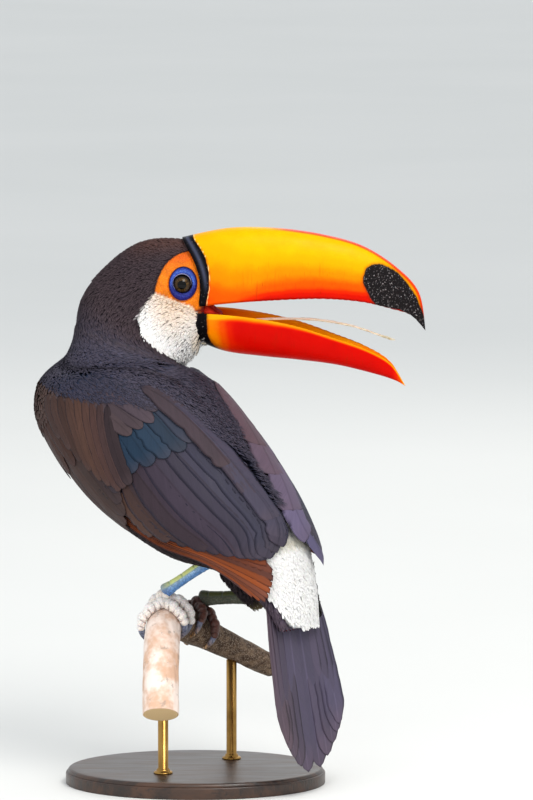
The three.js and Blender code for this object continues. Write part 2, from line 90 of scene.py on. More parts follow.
def put(name, points, faces, places=None, smooth=True, lie=None, soft=0.0, **values):
    """A new object from points in millimetres and faces that are arrays of point numbers.

    places are the corners' or the points' places on the map OFBake. Each of values is an attribute of the
    points: one number, a vector of three or a colour of four. The shading normals are the faces' own ones
    turned by the share soft towards lie.
    """
    points = points.reshape(-1, 3)
    corners = np.concatenate([part.ravel() for part in faces]).astype(np.int32)
    counts = np.concatenate([np.full(len(part), part.shape[1]) for part in faces])
    mesh = bpy.data.meshes.new(name)
    mesh.vertices.add(len(points))
    mesh.vertices.foreach_set("co", (points * MM).astype(np.float32).ravel())
    mesh.loops.add(len(corners))
    mesh.loops.foreach_set("vertex_index", corners)
    mesh.polygons.add(len(counts))
    mesh.polygons.foreach_set("loop_start", (np.cumsum(counts) - counts).astype(np.int32))
    mesh.update(calc_edges=True)
    mesh.polygons.foreach_set("use_smooth", np.full(len(counts), smooth))
    if places is not None:
        flat = places.reshape(-1, 2)
        flat = flat[corners] if len(flat) == len(points) else flat
        mesh.uv_layers.new(name="OFBake").uv.foreach_set("vector", flat.astype(np.float32).ravel())
    for key, value in values.items():
        value = np.asarray(value, np.float32)
        width = 1 if value.size == len(points) else value.size // len(points)
        kind, field = {1: ("FLOAT", "value"), 3: ("FLOAT_VECTOR", "vector"),
                       4: ("FLOAT_COLOR", "color")}[width]
        mesh.attributes.new(key, kind, "POINT").data.foreach_set(field, value.ravel())
    if soft:
        own = np.empty(len(points) * 3, np.float32)
        mesh.vertex_normals.foreach_get("vector", own)
        leaning = unit(own.reshape(-1, 3) * (1 - soft) + lie.reshape(-1, 3) * soft)
        mesh.normals_split_custom_set_from_vertices(leaning)
    made = bpy.data.objects.new(name, mesh)
    bpy.context.scene.collection.objects.link(made)
    return made


def finish_piece(piece, slot, *nodes, skin=None):
    """Gives a piece its material, lets it ride on the body, and hides the solids it replaces. slot is not
    used.
    """
    if skin:
        piece.data.materials.append(skin)
    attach(piece, "root")
    if nodes:
        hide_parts(*nodes)


def node(tree, kind, values=None, **settings):
    """Adds a shader node. A socket in values is linked to that input, and a number or colour is set on it."""
    made = tree.nodes.new("ShaderNode" + kind)
    for key, value in settings.items():
        setattr(made, key, value)
    for key, value in (values or {}).items():
        if isinstance(value, bpy.types.NodeSocket):
            tree.links.new(value, made.inputs[key])
        else:
            made.inputs[key].default_value = value
    return made


def mixed(tree, share, first, second):
    """The colour first turned into second by share."""
    return node(tree, "Mix", {0: share, 6: first, 7: second}, data_type="RGBA").outputs[2]


def calc(tree, operation, *numbers):
    """The result of a Math node."""
    return node(tree, "Math", dict(enumerate(numbers)), operation=operation).outputs[0]


def times(tree, first, second):
    """The product of two shader values."""
    return calc(tree, "MULTIPLY", first, second)


def plus(tree, first, second):
    """The sum of two shader values."""
    return calc(tree, "ADD", first, second)


def between(tree, value, low, high, start=0.0, end=1.0):
    """start where value is under low, end where it is over high, and a smooth slope between them."""
    inputs = {"Value": value, "From Min": low, "From Max": high, "To Min": start, "To Max": end}
    return node(tree, "MapRange", inputs, interpolation_type="SMOOTHSTEP").outputs[0]


def speckle(tree, place, scale, detail=3.0, roughness=0.5):
    """Soft noise from 0 to 1 at so many grains to the metre, or to the unit of place."""
    inputs = {"Vector": place, "Scale": scale, "Detail": detail, "Roughness": roughness}
    return node(tree, "TexNoise", inputs).outputs["Fac"]


def stretched(tree, place, scale):
    """A place scaled by three factors, which draws out a pattern on it."""
    return node(tree, "Mapping", {"Vector": place, "Scale": scale}).outputs[0]


def read(tree, name, output="Vector"):
    """What a piece's points carry under that name."""
    return node(tree, "Attribute", attribute_name=name).outputs[output]


def object_place(tree):
    """A place in the piece's own coordinates, in metres."""
    return node(tree, "TexCoord").outputs["Object"]


def new_material(name, **plain):
    """A material with one Principled shader, and its constant inputs set by name with _ for a space."""
    made = bpy.data.materials.new(name)
    made.use_nodes = True
    shader = made.node_tree.nodes["Principled BSDF"]
    for key, value in plain.items():
        shader.inputs[key.replace("_", " ")].default_value = value
    return made, made.node_tree, shader


def dress(tree, shader, colour=None, roughness=None, height=None, depth=0.1):
    """Links what varies over the surface to the shader. height is a relief that is depth millimetres high."""
    if colour is not None:
        tree.links.new(colour, shader.inputs["Base Color"])
    if roughness is not None:
        tree.links.new(roughness, shader.inputs["Roughness"])
    if height is not None:
        relief = node(tree, "Bump", {"Height": height, "Distance": depth * MM, "Strength": 1.0})
        tree.links.new(relief.outputs[0], shader.inputs["Normal"])


def lathe(profile, sides, stretch=1.0):
    """A turned surface: each point (radius, height) of the profile goes round the Z axis in equal steps."""
    turn = np.linspace(2 * np.pi, 0, sides, endpoint=False)
    radius, height = np.array(profile).T[:, :, None]
    rings = np.stack(np.broadcast_arrays(radius * np.cos(turn), radius * stretch * np.sin(turn), height), -1)
    poles = [[0, 0, profile[0][1]], [0, 0, profile[-1][1]]]
    return np.concatenate([rings.reshape(-1, 3), poles])


def round_edge(radius, height, size, start, end):
    """Points of a quarter-round of that size about (radius, height), from the start angle to the end one."""
    turn = np.radians(np.linspace(start, end, 7))
    return [(radius + size * np.cos(t), height + size * np.sin(t)) for t in turn]


_, base_high = (np.array(corner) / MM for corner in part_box("stand_base"))
BASE_EDGE = 1.6
base_profile = [(base_high[0] * 0.4, 0.0), (base_high[0] * 0.9, 0.0)]
base_profile += round_edge(base_high[0] - 0.8, 0.8, 0.8, -90, 0)
base_profile += round_edge(base_high[0] - BASE_EDGE, 7.5, BASE_EDGE, 0, 90)
base_profile += round_edge(base_high[0] - 4.5, base_high[2] - 3.2, 3.2, 0, 90)
base_profile += [(base_high[0] * r, base_high[2]) for r in (0.9, 0.6, 0.3)]
BASE_SIDES = 160

oak, tree, shader = new_material("dark_oak", Coat_Weight=0.25, Coat_Roughness=0.3)
grain_place = stretched(tree, object_place(tree), (9.0, 95.0, 30.0))
grain = speckle(tree, grain_place, 2.2, 6.0, 0.62)
pores = speckle(tree, stretched(tree, object_place(tree), (26.0, 900.0, 200.0)), 1.0, 2.0)
pores = between(tree, pores, 0.56, 0.7)
wood = mixed(tree, between(tree, grain, 0.35, 0.68), tint("#21140d"), tint("#4a2f1e"))
wood = mixed(tree, times(tree, pores, 0.6), wood, tint("#140c08"))
varnish = between(tree, grain, 0.3, 0.7, 0.34, 0.5)
dress(tree, shader, wood, varnish, calc(tree, "SUBTRACT", grain, pores), 0.12)
base = put("base_plate", lathe(base_profile, BASE_SIDES, base_high[1] / base_high[0]),
           closed_faces(len(base_profile), BASE_SIDES))
finish_piece(base, "stand_wood", "stand_base", skin=oak)

# ---- Rods ----
# Two slim brass rods, brushed along their length, screwed up into the branch from the base. Each stands
# in a small turned brass collar on the oak.
COLLAR = [(7.2, 0.0), (7.2, 1.0), (6.6, 1.7), (5.2, 2.1), (4.9, 3.4), (4.4, 3.9)]
ROD_SIDES = 48

brass, tree, shader = new_material("brushed_brass", Metallic=1.0, Anisotropic=0.4)
brushing = speckle(tree, stretched(tree, object_place(tree), (900.0, 900.0, 12.0)), 1.0, 4.0)
tarnish = between(tree, speckle(tree, object_place(tree), 38.0, 4.0), 0.35, 0.75)
gold = mixed(tree, tarnish, tint("#c49a54"), tint("#8a6531"))
dress(tree, shader, gold, between(tree, brushing, 0.2, 0.8, 0.2, 0.38), brushing, 0.02)
for number in (1, 2):
    low, high = (np.array(corner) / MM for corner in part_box(f"stand_rod_{number}"))
    middle = (low + high) / 2
    radius = (high[0] - low[0]) / 2
    collar = [(0.5, 0.0), *COLLAR, (radius, 4.2)]
    rod_profile = [(r, base_high[2] + h) for r, h in collar]
    rod_profile += [(radius, high[2] - 1.0), (radius * 0.5, high[2])]
    rod = put(f"brass_rod_{number}", lathe(rod_profile, ROD_SIDES) + [middle[0], middle[1], 0],
              closed_faces(len(rod_profile), ROD_SIDES))
    finish_piece(rod, "stand_metal", f"stand_rod_{number}", skin=brass)

# ---- Perch ----
# A short length of guava branch, sawn square at both ends. Its bark is smooth and peach-coloured on the
# side that faces out of the tree and rough, grey-brown and speckled farther in.
BRANCH = np.array([
    [-25, -70, 64], [-25, -47, 103], [-21, -16, 126], [-2, 9, 116], [26, 32, 99], [58, 52, 80]], float)
BRANCH_RADIUS = np.array([13.4, 13.3, 13.2, 12.2, 10.0, 8.5])
BRANCH_ROWS, BRANCH_SIDES = 190, 112
KNOTS = [(0.62, 2.5, 0.16, 0.5, 1.3), (3.9, -1.2, 0.2, 0.6, 1.1), (4.45, 1.9, 0.14, 0.5, 1.2)]


def through(rows, at):
    """Catmull-Rom curve through equally spaced rows, read at the fractional row number at."""
    at = np.asarray(at, float)
    last = len(rows) - 1
    row = np.clip(np.floor(at).astype(int), 0, last - 1)
    t = (at - row)[..., None] if rows.ndim > 1 else at - row
    a, b, c, d = rows[np.maximum(row - 1, 0)], rows[row], rows[row + 1], rows[np.minimum(row + 2, last)]
    return b + 0.5 * t * (c - a + t * (2 * a - 5 * b + 4 * c - d + t * (3 * (b - c) + d - a)))


def unit(vectors):
    """The vectors scaled to length 1."""
    return vectors / np.linalg.norm(vectors, axis=-1, keepdims=True)


def bark_point(at, turn, out=0.0):
    """A point at a distance out from the bark. at runs along the branch, and turn is the angle round it.

    Turn 0 is the highest line of the branch, and a positive turn goes towards the bird's tail.
    """
    at, turn, out = np.broadcast_arrays(np.asarray(at, float), turn, out)
    along = unit(through(BRANCH, at + 0.05) - through(BRANCH, at - 0.05))
    top = unit(np.array([0, 0, 1.0]) - along * along[..., 2:])
    aside = np.cross(along, top)
    reach = (through(BRANCH_RADIUS, at) + out)[..., None]
    return through(BRANCH, at) + reach * (top * np.cos(turn)[..., None] + aside * np.sin(turn)[..., None])


def waves(x, y, seed, count=9, coarse=1.0, fine=6.0):
    """Smooth bumps from about -1 to 1: a sum of sine waves that run in random directions over x and y."""
    rng = np.random.default_rng(seed)
    length = rng.uniform(coarse, fine, count)
    way, phase = rng.uniform(0, 2 * np.pi, (2, count))
    total = sum(np.sin(k * (x * np.cos(w) + y * np.sin(w)) + p) for k, w, p in zip(length, way, phase))
    return total / np.sqrt(count)


cut_in = np.array([0.25, 0.5, 0.72, 0.88, 0.965])
branch_at = np.concatenate([0 * cut_in, np.linspace(0.012, 4.988, BRANCH_ROWS), 0 * cut_in + 5.0])[:, None]
cut = np.concatenate([cut_in, np.ones(BRANCH_ROWS), cut_in[::-1]])[:, None]
turn = np.linspace(2 * np.pi, 0, BRANCH_SIDES, endpoint=False)[None]
relief = 0.22 * waves(np.cos(turn) * 3 + branch_at * 0.5, np.sin(turn) * 3 + branch_at * 4, 4)
cracks = waves(np.cos(turn) * 9, np.sin(turn) * 9 + branch_at * 14, 5)
relief = relief + 0.12 * np.maximum(branch_at - 3, 0) * cracks
for knot_at, knot_turn, long, broad, high in KNOTS:
    off = np.angle(np.exp(1j * (turn - knot_turn)))
    relief = relief + high * np.exp(-(((branch_at - knot_at) / long) ** 2) - (off / broad) ** 2)
shrink = through(BRANCH_RADIUS, branch_at) * (cut - 1)
bark_rings = bark_point(branch_at, turn, shrink + relief * (cut > 0.99))
poles = through(BRANCH, np.array([0.0, 5.0]))
branch_points = np.concatenate([bark_rings.reshape(-1, 3), poles])


def with_poles(grid, first, last):
    """A value for each ring point and then for the two poles."""
    return np.concatenate([np.broadcast_to(grid, bark_rings.shape[:2]).ravel(), [first, last]])


bark, tree, shader = new_material("guava_bark", Specular_IOR_Level=0.15)
run = read(tree, "run", "Fac")
face = read(tree, "cut", "Fac")
place = object_place(tree)
patches = speckle(tree, place, 42.0, 4.0, 0.6)
smooth_bark = mixed(tree, between(tree, patches, 0.42, 0.62), tint("#ecdcd1"), tint("#d6b096"))
lichen = between(tree, speckle(tree, place, 120.0, 5.0, 0.7), 0.57, 0.66)
smooth_bark = mixed(tree, times(tree, lichen, 0.6), smooth_bark, tint("#9c8f84"))
blotches = between(tree, speckle(tree, place, 160.0, 4.0, 0.6), 0.4, 0.6)
blotches = mixed(tree, blotches, tint("#46352a"), tint("#75604d"))
specks = between(tree, speckle(tree, place, 1100.0, 4.0, 0.7), 0.52, 0.62)
rough_bark = mixed(tree, times(tree, specks, 0.75), blotches, tint("#b3a08c"))
outer = calc(tree, "MULTIPLY_ADD", patches, 1.2, run)
bark_colour = mixed(tree, between(tree, outer, 2.2, 3.5), smooth_bark, rough_bark)
rings = calc(tree, "MULTIPLY_ADD", face, 46.0, times(tree, patches, 5.0))
sawn = mixed(tree, between(tree, calc(tree, "SINE", rings), -0.2, 1.0), tint("#dcc196"), tint("#b8935f"))
on_cut = between(tree, face, 0.955, 0.995, 1.0, 0.0)
ridges = speckle(tree, stretched(tree, place, (1.0, 1.0, 0.5)), 210.0, 6.0, 0.65)
height = mixed(tree, between(tree, run, 2.0, 3.6), times(tree, ridges, 0.35), ridges)
bark_colour = mixed(tree, on_cut, bark_colour, sawn)
dress(tree, shader, bark_colour, between(tree, patches, 0.3, 0.7, 0.55, 0.85), height, 0.7)
perch = put("branch", branch_points, closed_faces(len(branch_at), BRANCH_SIDES),
            run=with_poles(branch_at, 0, 5), cut=with_poles(cut, 0, 0))
finish_piece(perch, "perch_bark", "perch", skin=bark)

# ---- Body's form ----
# The bird's own shape, which its skin, plumage and wings all follow. Each station is a section across the
# centre line from the bill's root over the neck to the tail's root. The head looks back over the right
# shoulder.
# Columns: x, y, z of the middle, heading and pitch in degrees, half-width, half-height of back and of belly,
# and the height of the folded wing's underside over the back's outline.
STATIONS = np.array([
    [6, 46, 368, 0, 3, 17, 38.5, 36, 0],
    [-20, 46, 364, 0, 24, 27, 45.4, 44, 0],
    [-37, 46, 352, 0, 43, 31, 45.8, 46, 0],
    [-46, 46, 338, 2, 59, 35, 46.6, 45, 0],
    [-50.3, 45, 321.6, 30, 72, 40.2, 43.2, 43, 0],
    [-55.3, 40, 305.5, 95, 70, 48.4, 44.8, 46, 0],
    [-57, 28, 286, 128, 56, 55.4, 50.6, 49.6, 2],
    [-26, 1, 248.7, 138, 42, 61, 53, 54.6, 2],
    [15.8, -29, 209, 138, 44, 54.6, 47.4, 44.4, 2],
    [47.4, -48, 184, 138, 56, 41.6, 31.8, 30, 3],
    [68, -56, 155, 138, 72, 29, 15, 17, 9],
    [78, -60, 126, 138, 84, 21, 5, 5, 12]], float)


def body_point(at, angle, out=0.0):
    """A point at a distance out over the plumage's outline. at is the station, and angle goes round it.

    Angle 0 is the midline of the back and a quarter turn is the bird's right side. The section is two
    half-ellipses, and every size is a Catmull-Rom curve through the stations.
    """
    at, angle, out = np.broadcast_arrays(np.asarray(at, float), angle, out)
    values = through(STATIONS, at)
    heading, pitch = np.radians(values[..., 3]), np.radians(values[..., 4])
    up = np.stack([-np.cos(heading) * np.sin(pitch), -np.sin(heading) * np.sin(pitch), np.cos(pitch)], -1)
    right = np.stack([np.sin(heading), -np.cos(heading), 0 * heading], -1)
    high = np.where(np.cos(angle) > 0, values[..., 6], values[..., 7])
    return (values[..., :3] + right * (np.sin(angle) * (values[..., 5] + out))[..., None]
            + up * (np.cos(angle) * (high + out))[..., None])


def steps(value, low, high):
    """0 under low, 1 over high and a smooth slope between them."""
    t = np.clip((value - low) / (high - low), 0, 1)
    return t * t * (3 - 2 * t)


def round_angle(angle):
    """The angle's size in degrees from the back's midline, alike on both sides."""
    return np.degrees(np.abs(np.angle(np.exp(1j * angle))))


# The folded wing, in rows from the shoulder to the tip: upper and lower edge in degrees from the back's
# midline, and greatest thickness.
WING_FROM, WING_TO = 5.0, 9.9
WING = np.array([
    [54, 112, 12.8], [34, 132, 11], [12, 134, 10.5], [4, 131, 10], [3, 127, 7.8], [10, 119, 5],
    [64, 100, 1.5]], float)
WING_RIM = 1.2


def wing_part(at):
    """The station at as a part of the way from the folded wing's shoulder to its tip."""
    return (at - WING_FROM) / (WING_TO - WING_FROM)


def wing_row(part):
    """The folded wing's upper and lower edge and thickness at a part of its length."""
    return through(WING, np.clip(part, 0, 1) * (len(WING) - 1))


def wing_across(at, size):
    """Share of the way across the wing, from its upper edge, at a station and size degrees from the back."""
    row = wing_row(wing_part(at))
    return (size - row[..., 0]) / (row[..., 1] - row[..., 0])


def wing_form(part, share):
    """Angle in degrees and height over the body's outline of the folded wing's surface.

    part runs from the shoulder to the tip and share from the upper to the lower edge. The height is the
    lift plus the rim plus the thickness times the root of a half sine wave across the wing.
    """
    row = wing_row(part)
    lift = through(STATIONS, WING_FROM + (WING_TO - WING_FROM) * part)[..., 8] + 0.3
    bulge = row[..., 2] * np.sqrt(np.sin(np.pi * np.clip(share, 0, 1)))
    return row[..., 0] + (row[..., 1] - row[..., 0]) * share, lift, WING_RIM + bulge


def wing_point(side, part, share, layer, out=0.0):
    """A point of the folded wing. layer goes from 0 at its underside to 1 at its outer surface."""
    part, share, layer, out = np.broadcast_arrays(np.asarray(part, float), share, layer, out)
    angle, lift, thick = wing_form(part, share)
    at = WING_FROM + (WING_TO - WING_FROM) * part
    return body_point(at, side * np.radians(angle), lift + thick * layer + out)


def wing_height(at, angle, fill=0.0):
    """Height of the folded wing's outer surface over the body's outline, falling to nothing round its rim.

    fill: share of the wing's width along its upper edge that is as high as the wing is there.
    """
    share = wing_across(at, round_angle(angle))
    window = steps(share, -0.14 - fill, 0.06 - fill / 2) * steps(share, 1.1, 0.94)
    window = window * np.where(np.sin(angle) > 0, steps(at, 4.9, 6.6),
                               steps(at, 4.45 - fill, 5.25 + fill / 2))
    lift = np.interp(at, np.arange(len(STATIONS)), STATIONS[:, 8])
    bulge = wing_row(wing_part(at))[..., 2] * np.sqrt(np.sin(np.pi * np.clip(share, fill, 1.0)))
    return window * (lift + WING_RIM + bulge)


# Share of the wing's width along its upper edge where soft feathers fill the groove between wing and back.
GROOVE = 0.12


def cloak_point(at, angle, out=0.0):
    """A point at a distance out over body and folded wings together, with the groove between them filled."""
    return body_point(at, angle, out + wing_height(at, angle, GROOVE))


# ---- Markings ----
# The colours of skin and plumage in life: blackish brown, a white bib that runs from the cheek to the
# breast with a red hem, bare orange skin round the eye, white rump and red vent.
# Edges of the marks: the station, and the angle from the back's midline in degrees.
BIB_EDGE = np.array([
    [0.3, 112], [0.45, 102], [0.7, 96], [1.0, 87], [1.26, 78], [1.65, 81], [2.3, 85], [2.55, 95], [2.74, 112],
    [2.85, 130], [3.3, 150], [3.6, 158], [4.2, 150], [5.0, 128], [5.9, 128], [6.5, 200]])
FACE_EDGE = np.array([
    [0.2, 30], [0.29, 34], [0.48, 39], [0.63, 46], [0.78, 54], [0.94, 63], [1.26, 77], [1.4, 110]])
RUMP_EDGE = np.array([
    [9.9, 100], [10.05, 84], [10.2, 70], [10.4, 60], [10.6, 53], [10.72, 44], [10.84, 26], [10.92, 5]])


def on_right(angle):
    """Whether a place of the body lies on the bird's right."""
    return np.sin(angle) > 0


def rump_depth(at, angle):
    """How many degrees a place lies inside the white rump's edge, which reaches further back on the right."""
    right = 34 * on_right(angle) * steps(at, 9.0, 9.5)
    return np.interp(at, RUMP_EDGE[:, 0], RUMP_EDGE[:, 1]) + right - round_angle(angle)


def bib_depth(at, angle):
    """How many degrees a place lies inside the bib's edge."""
    return round_angle(angle) - np.interp(at, BIB_EDGE[:, 0], BIB_EDGE[:, 1], left=180, right=200)


def bare_face(at, angle):
    """1 on the naked skin round the eye and at the bill's root, and 0 under the feathers."""
    size = round_angle(angle)
    above = size - np.interp(at, FACE_EDGE[:, 0], FACE_EDGE[:, 1])
    below = np.interp(at, BIB_EDGE[:, 0], BIB_EDGE[:, 1]) - size
    return steps(np.minimum(above, below), -1.5, 1.5) * (at < 1.4)


def layered(*coats):
    """Colours laid over each other: each is (share, colour), and the first one lies at the bottom."""
    total = np.zeros((*np.shape(coats[0][0]), 3))
    for share, colour in coats:
        total = total + (rgb(colour) - total) * np.asarray(share)[..., None]
    return total


def markings(at, angle):
    """The plumage's and skin's colour at a place of the body."""
    at, angle = np.broadcast_arrays(np.asarray(at, float), angle)
    size = round_angle(angle)
    bib = steps(bib_depth(at, angle), -1.5, 1.5)
    cheek = bib * steps(at, 2.1, 1.0) * steps(size, 150, 95)
    hem = steps(size, 118, 130) * steps(at, 6.05, 6.15) * steps(at, 6.5, 6.38)
    rump = steps(at, 9.0, 9.25) * steps(rump_depth(at, angle), -5, 5)
    base = steps(at, 9.9, 10.1) * (1 - rump)
    vent = steps(at, 9.2, 9.45) * steps(size - 34 * on_right(angle) - 14 * steps(at, 9.6, 9.8), 116, 126)
    face = bare_face(at, angle)
    return layered(
        (np.ones(at.shape), "#342a2f"),
        (steps(size, 50, 15) * steps(at, 1.6, 0.8), "#513630"),
        (steps(at, 2.6, 4.4), "#393b4e"),
        (steps(at, 4.8, 5.8), "#2a2c39"),
        (steps(at, 7.0, 8.4), "#33303a"),
        (steps(size, 95, 125) * steps(at, 5.2, 6.2), "#151417"),
        (bib, "#fbf9f6"),
        (cheek, "#f3d0ae"),
        (bib * steps(at, 0.9, 0.4) * steps(size, 120, 150), "#ead8be"),
        (hem, "#b3151a"),
        (rump, "#fdfcfa"),
        (rump * steps(at, 9.35, 9.1), "#b5a668"),
        (base, "#463c4a"),
        (vent, "#c4201a"),
        (face, "#fb8200"),
        (face * steps(size, 62, 44), "#f56a04"),
        (steps(np.abs(size - 109.3) + 12 * at, 6.0, 4.0), "#7c0d0a"),
    )


# ---- Skin ----
# One unbroken skin over head, neck, trunk, the arms of the folded wings and both thighs. It lies under
# the plumage by the plumage's depth and comes to the surface as bare orange skin and in the blue rings.
SKIN_DEPTH = np.array([0.8, 1.6, 2.0, 2.2, 2.6, 3.2, 3.5, 4.0, 4.5, 5.0, 5.0, 3.0])
SKIN_END = 10.9
SKIN_ROWS, SKIN_SIDES = 190, 132
THIGHS = {
    "left": ([15, -32, 176.5], [12, -24, 193], 14.0),
    "right": ([48, -5, 143], [27, -8, 174], 14.5),
}
THIGH_DEPTH = 3.0
NUDGE = 0.01
THIGH_ROWS, THIGH_SIDES = 28, 36
BILL_ROOT = np.array([0.0, 46.0, 357.0])
HEAD_ROLL = np.radians(3)
EYE_FORWARD, EYE_ASIDE, EYE_UP, EYE_RADIUS = -10.0, 17.6, 20.0, 8.2


def head_point(forward, left, up):
    """A place on the head, measured from the middle of the bill's root, with the head tipped to its right."""
    forward, left, up = np.broadcast_arrays(np.asarray(forward, float), left, up)
    aside = left * np.cos(HEAD_ROLL) - up * np.sin(HEAD_ROLL)
    above = up * np.cos(HEAD_ROLL) + left * np.sin(HEAD_ROLL)
    return BILL_ROOT + np.stack([forward, aside, above], -1)


def thigh_point(side):
    """The surface of a thigh by the part from ankle to belly, the turn round it and a distance out.

    It is a cone with a rounded outline: the radius is the thickness times the root of 0.4 + 0.6 * part.
    """
    ankle, top, thick = THIGHS[side]
    ankle, top = np.array(ankle, float), np.array(top, float)
    along = unit(top - ankle)
    across = unit(np.array([1.0, 0, 0]) - along * along[0])
    rise = np.cross(across, along)

    def point(part, turn, out=0.0):
        part, turn, out = np.broadcast_arrays(np.asarray(part, float), turn, out)
        reach = (thick * np.sqrt(np.maximum(0.4 + 0.6 * part, 0.05)) + out)[..., None]
        ring = across * np.cos(turn)[..., None] + rise * np.sin(turn)[..., None]
        return ankle + (top - ankle) * (part * 1.25 - 0.12)[..., None] + reach * ring

    return point


def skin_height(at, angle):
    """Height of the skin over the plumage's outline: minus the plumage's depth, plus the wing's arm."""
    deep = through(SKIN_DEPTH, at) * (1 - bare_face(at, angle)) + 0.3
    arm = steps(at, 8.2, 7.2) * (1 - 0.3 * steps(at, 5.8, 7.0))
    return -deep + arm * wing_height(at, angle)


def torus_faces(rows, sides):
    """Quads that join rows rings of sides points, the last ring to the first one too."""
    row, side = np.meshgrid(np.arange(rows), np.arange(sides), indexing="ij")
    below, after = (row + 1) % rows * sides, (side + 1) % sides
    quads = [row * sides + side, below + side, below + after, row * sides + after]
    return np.stack(quads, -1).reshape(-1, 4)


def join_shells(shells):
    """Points and faces of several shells as one mesh. Each shell: its points, and its faces by their size."""
    starts = np.cumsum([0] + [len(points) for points, _ in shells])
    faces = [face + start for (_, parts), start in zip(shells, starts) for face in parts]
    sorted_faces = [np.concatenate([face for face in faces if face.shape[1] == size]) for size in (4, 3)]
    return np.concatenate([points for points, _ in shells]), sorted_faces


def head_place(forward, up, side):
    """Station and angle of the outline beside (forward, up) on the head, found by Newton's rule."""
    at, angle = np.full(np.shape(forward), 0.5), np.full(np.shape(forward), 1.2)
    goal = np.stack([forward, up], -1)
    for _ in range(12):
        here, next_at, next_angle = (
            (body_point(at + a, -side * (angle + b)) - BILL_ROOT)[..., [0, 2]]
            for a, b in ((0, 0), (NUDGE, 0), (0, NUDGE)))
        first, second, miss = (next_at - here) / NUDGE, (next_angle - here) / NUDGE, goal - here
        area = first[..., 0] * second[..., 1] - first[..., 1] * second[..., 0]
        move_at = (miss[..., 0] * second[..., 1] - miss[..., 1] * second[..., 0]) / area
        move_angle = (first[..., 0] * miss[..., 1] - first[..., 1] * miss[..., 0]) / area
        at, angle = at + np.clip(move_at, -0.3, 0.3), angle + np.clip(move_angle, -0.3, 0.3)
    return at, -side * angle


# Across the eye's ring: share of the way from the lids' opening to the outer rim, share of the way from
# the eyeball's surface to the skin's, height in millimetres, and colour.
# The pale lavender rows near the opening are a painted highlight along the lids' glossy edge.
RING = [
    (-0.02, 0.0, -1.2, "#0a0a0c"), (0.0, 0.0, 0.1, "#0a0a0c"), (0.02, 0.0, 0.45, "#0b0b10"),
    (0.055, 0.05, 0.6, "#16151f"), (0.085, 0.15, 0.66, "#b4b6da"), (0.125, 0.3, 0.55, "#9c9fd0"),
    (0.15, 0.4, 0.5, "#4a539c"),
    (0.19, 0.5, 0.72, "#3d4fb0"), (0.27, 0.8, 1.15, "#4868cc"), (0.36, 1.0, 1.4, "#5678d8"),
    (0.46, 1.0, 1.55, "#5274d2"), (0.56, 1.0, 1.55, "#4662c4"), (0.66, 1.0, 1.4, "#3a4cb8"),
    (0.75, 1.0, 1.15, "#2a3590"), (0.83, 1.0, 0.8, "#1a1f5c"), (0.885, 1.0, 0.35, "#14152f"),
    (0.92, 1.0, 0.28, "#2c1a1c"), (0.95, 1.0, 0.5, "#d8650a"), (0.975, 1.0, 0.3, "#ff8200"),
    (1.03, 1.0, -0.7, "#ff8a00"), (1.0, 1.0, -3.0, "#a04000"), (0.5, 1.0, -3.0, "#301010"),
    (0.1, 0.5, -3.0, "#301010"),
]
RING_SIDES = 144
OPENING, RIM = np.array([6.5, 6.2]), np.array([11.0, 13.1])
RIM_SHIFT = np.array([0.9, -0.9])


def eye_ring(side):
    """The swollen blue ring round an eye with the lids' margin, as rings of points, and its colours, which
    hold a painted highlight along the lids' edge and painted shade on the ring's lower half.
    """
    share, blend, high = (np.array([row[k] for row in RING])[:, None] for k in range(3))
    turn = np.linspace(0, 2 * np.pi, RING_SIDES, endpoint=False)[None]
    wide, tall = (inner + (outer - inner) * share for inner, outer in zip(OPENING, RIM))
    forward = EYE_FORWARD + RIM_SHIFT[0] * share + wide * np.cos(turn)
    up = EYE_UP + RIM_SHIFT[1] * share + tall * np.sin(turn)
    at, angle = head_place(forward, up, side)
    skin = (body_point(at, angle, -0.3)[..., 1] - BILL_ROOT[1]) * side
    off = np.minimum((forward - EYE_FORWARD) ** 2 + (up - EYE_UP) ** 2, EYE_RADIUS**2)
    ball = EYE_ASIDE + np.sqrt(EYE_RADIUS**2 - off) - side * np.sin(HEAD_ROLL) * EYE_UP
    folds = waves(np.cos(turn) * 9, np.sin(turn) * 9 + share * 5, 31)
    folds = 0.16 * np.sin(np.pi * np.clip(share, 0, 1)) * folds
    reach = ball + (skin - ball) * blend + high + folds
    points = np.stack([forward, side * reach, up], -1) + BILL_ROOT
    colours = np.array([rgb(row[3]) for row in RING])[:, None]
    # Painted shade: the ring's lower half is darkened towards indigo.
    painted_lower_shade = steps(np.sin(turn), 0.35, -0.55) * steps(share, 0.12, 0.25) * steps(share, 0.95, 0.85)
    colours = colours + (rgb("#262080") - colours) * 0.8 * painted_lower_shade[..., None]
    return points, colours


def with_alpha(colours):
    """Colours with a fourth value of 1."""
    return np.concatenate([colours, np.ones((*colours.shape[:-1], 1))], -1)


skin_at = np.concatenate([np.linspace(0.02, 2.4, 76), np.linspace(2.44, SKIN_END, SKIN_ROWS - 76)])[:, None]
skin_angle = np.linspace(0, 2 * np.pi, SKIN_SIDES, endpoint=False)[None]
skin_rings = body_point(skin_at, skin_angle, skin_height(skin_at, skin_angle))
creases = steps(waves(skin_at * 26, skin_angle * 9, 12), -0.2, 1.4) * bare_face(skin_at, skin_angle)
for side in (-1, 1):
    eye_middle = head_point(EYE_FORWARD + 0.7, side * 22, EYE_UP - 0.7)
    off = skin_rings - eye_middle
    near = np.sqrt((off[..., 0] / 11.4) ** 2 + (off[..., 2] / 13.5) ** 2 + (off[..., 1] / 14) ** 2)
    skin_rings = skin_rings - [0, side * 1.0, 0] * (2.6 * steps(near, 1.0, 0.86))[..., None]
    wrinkle = np.exp(-(((near - 1.1) / 0.05) ** 2)) + 0.7 * np.exp(-(((near - 1.24) / 0.05) ** 2))
    face = bare_face(skin_at, skin_angle)
    skin_rings = skin_rings + [0, side * 1.0, 0] * (0.4 * face * (wrinkle - 0.4 * creases))[..., None]
skin_poles = through(STATIONS, np.array([0.02, SKIN_END]))[:, :3]
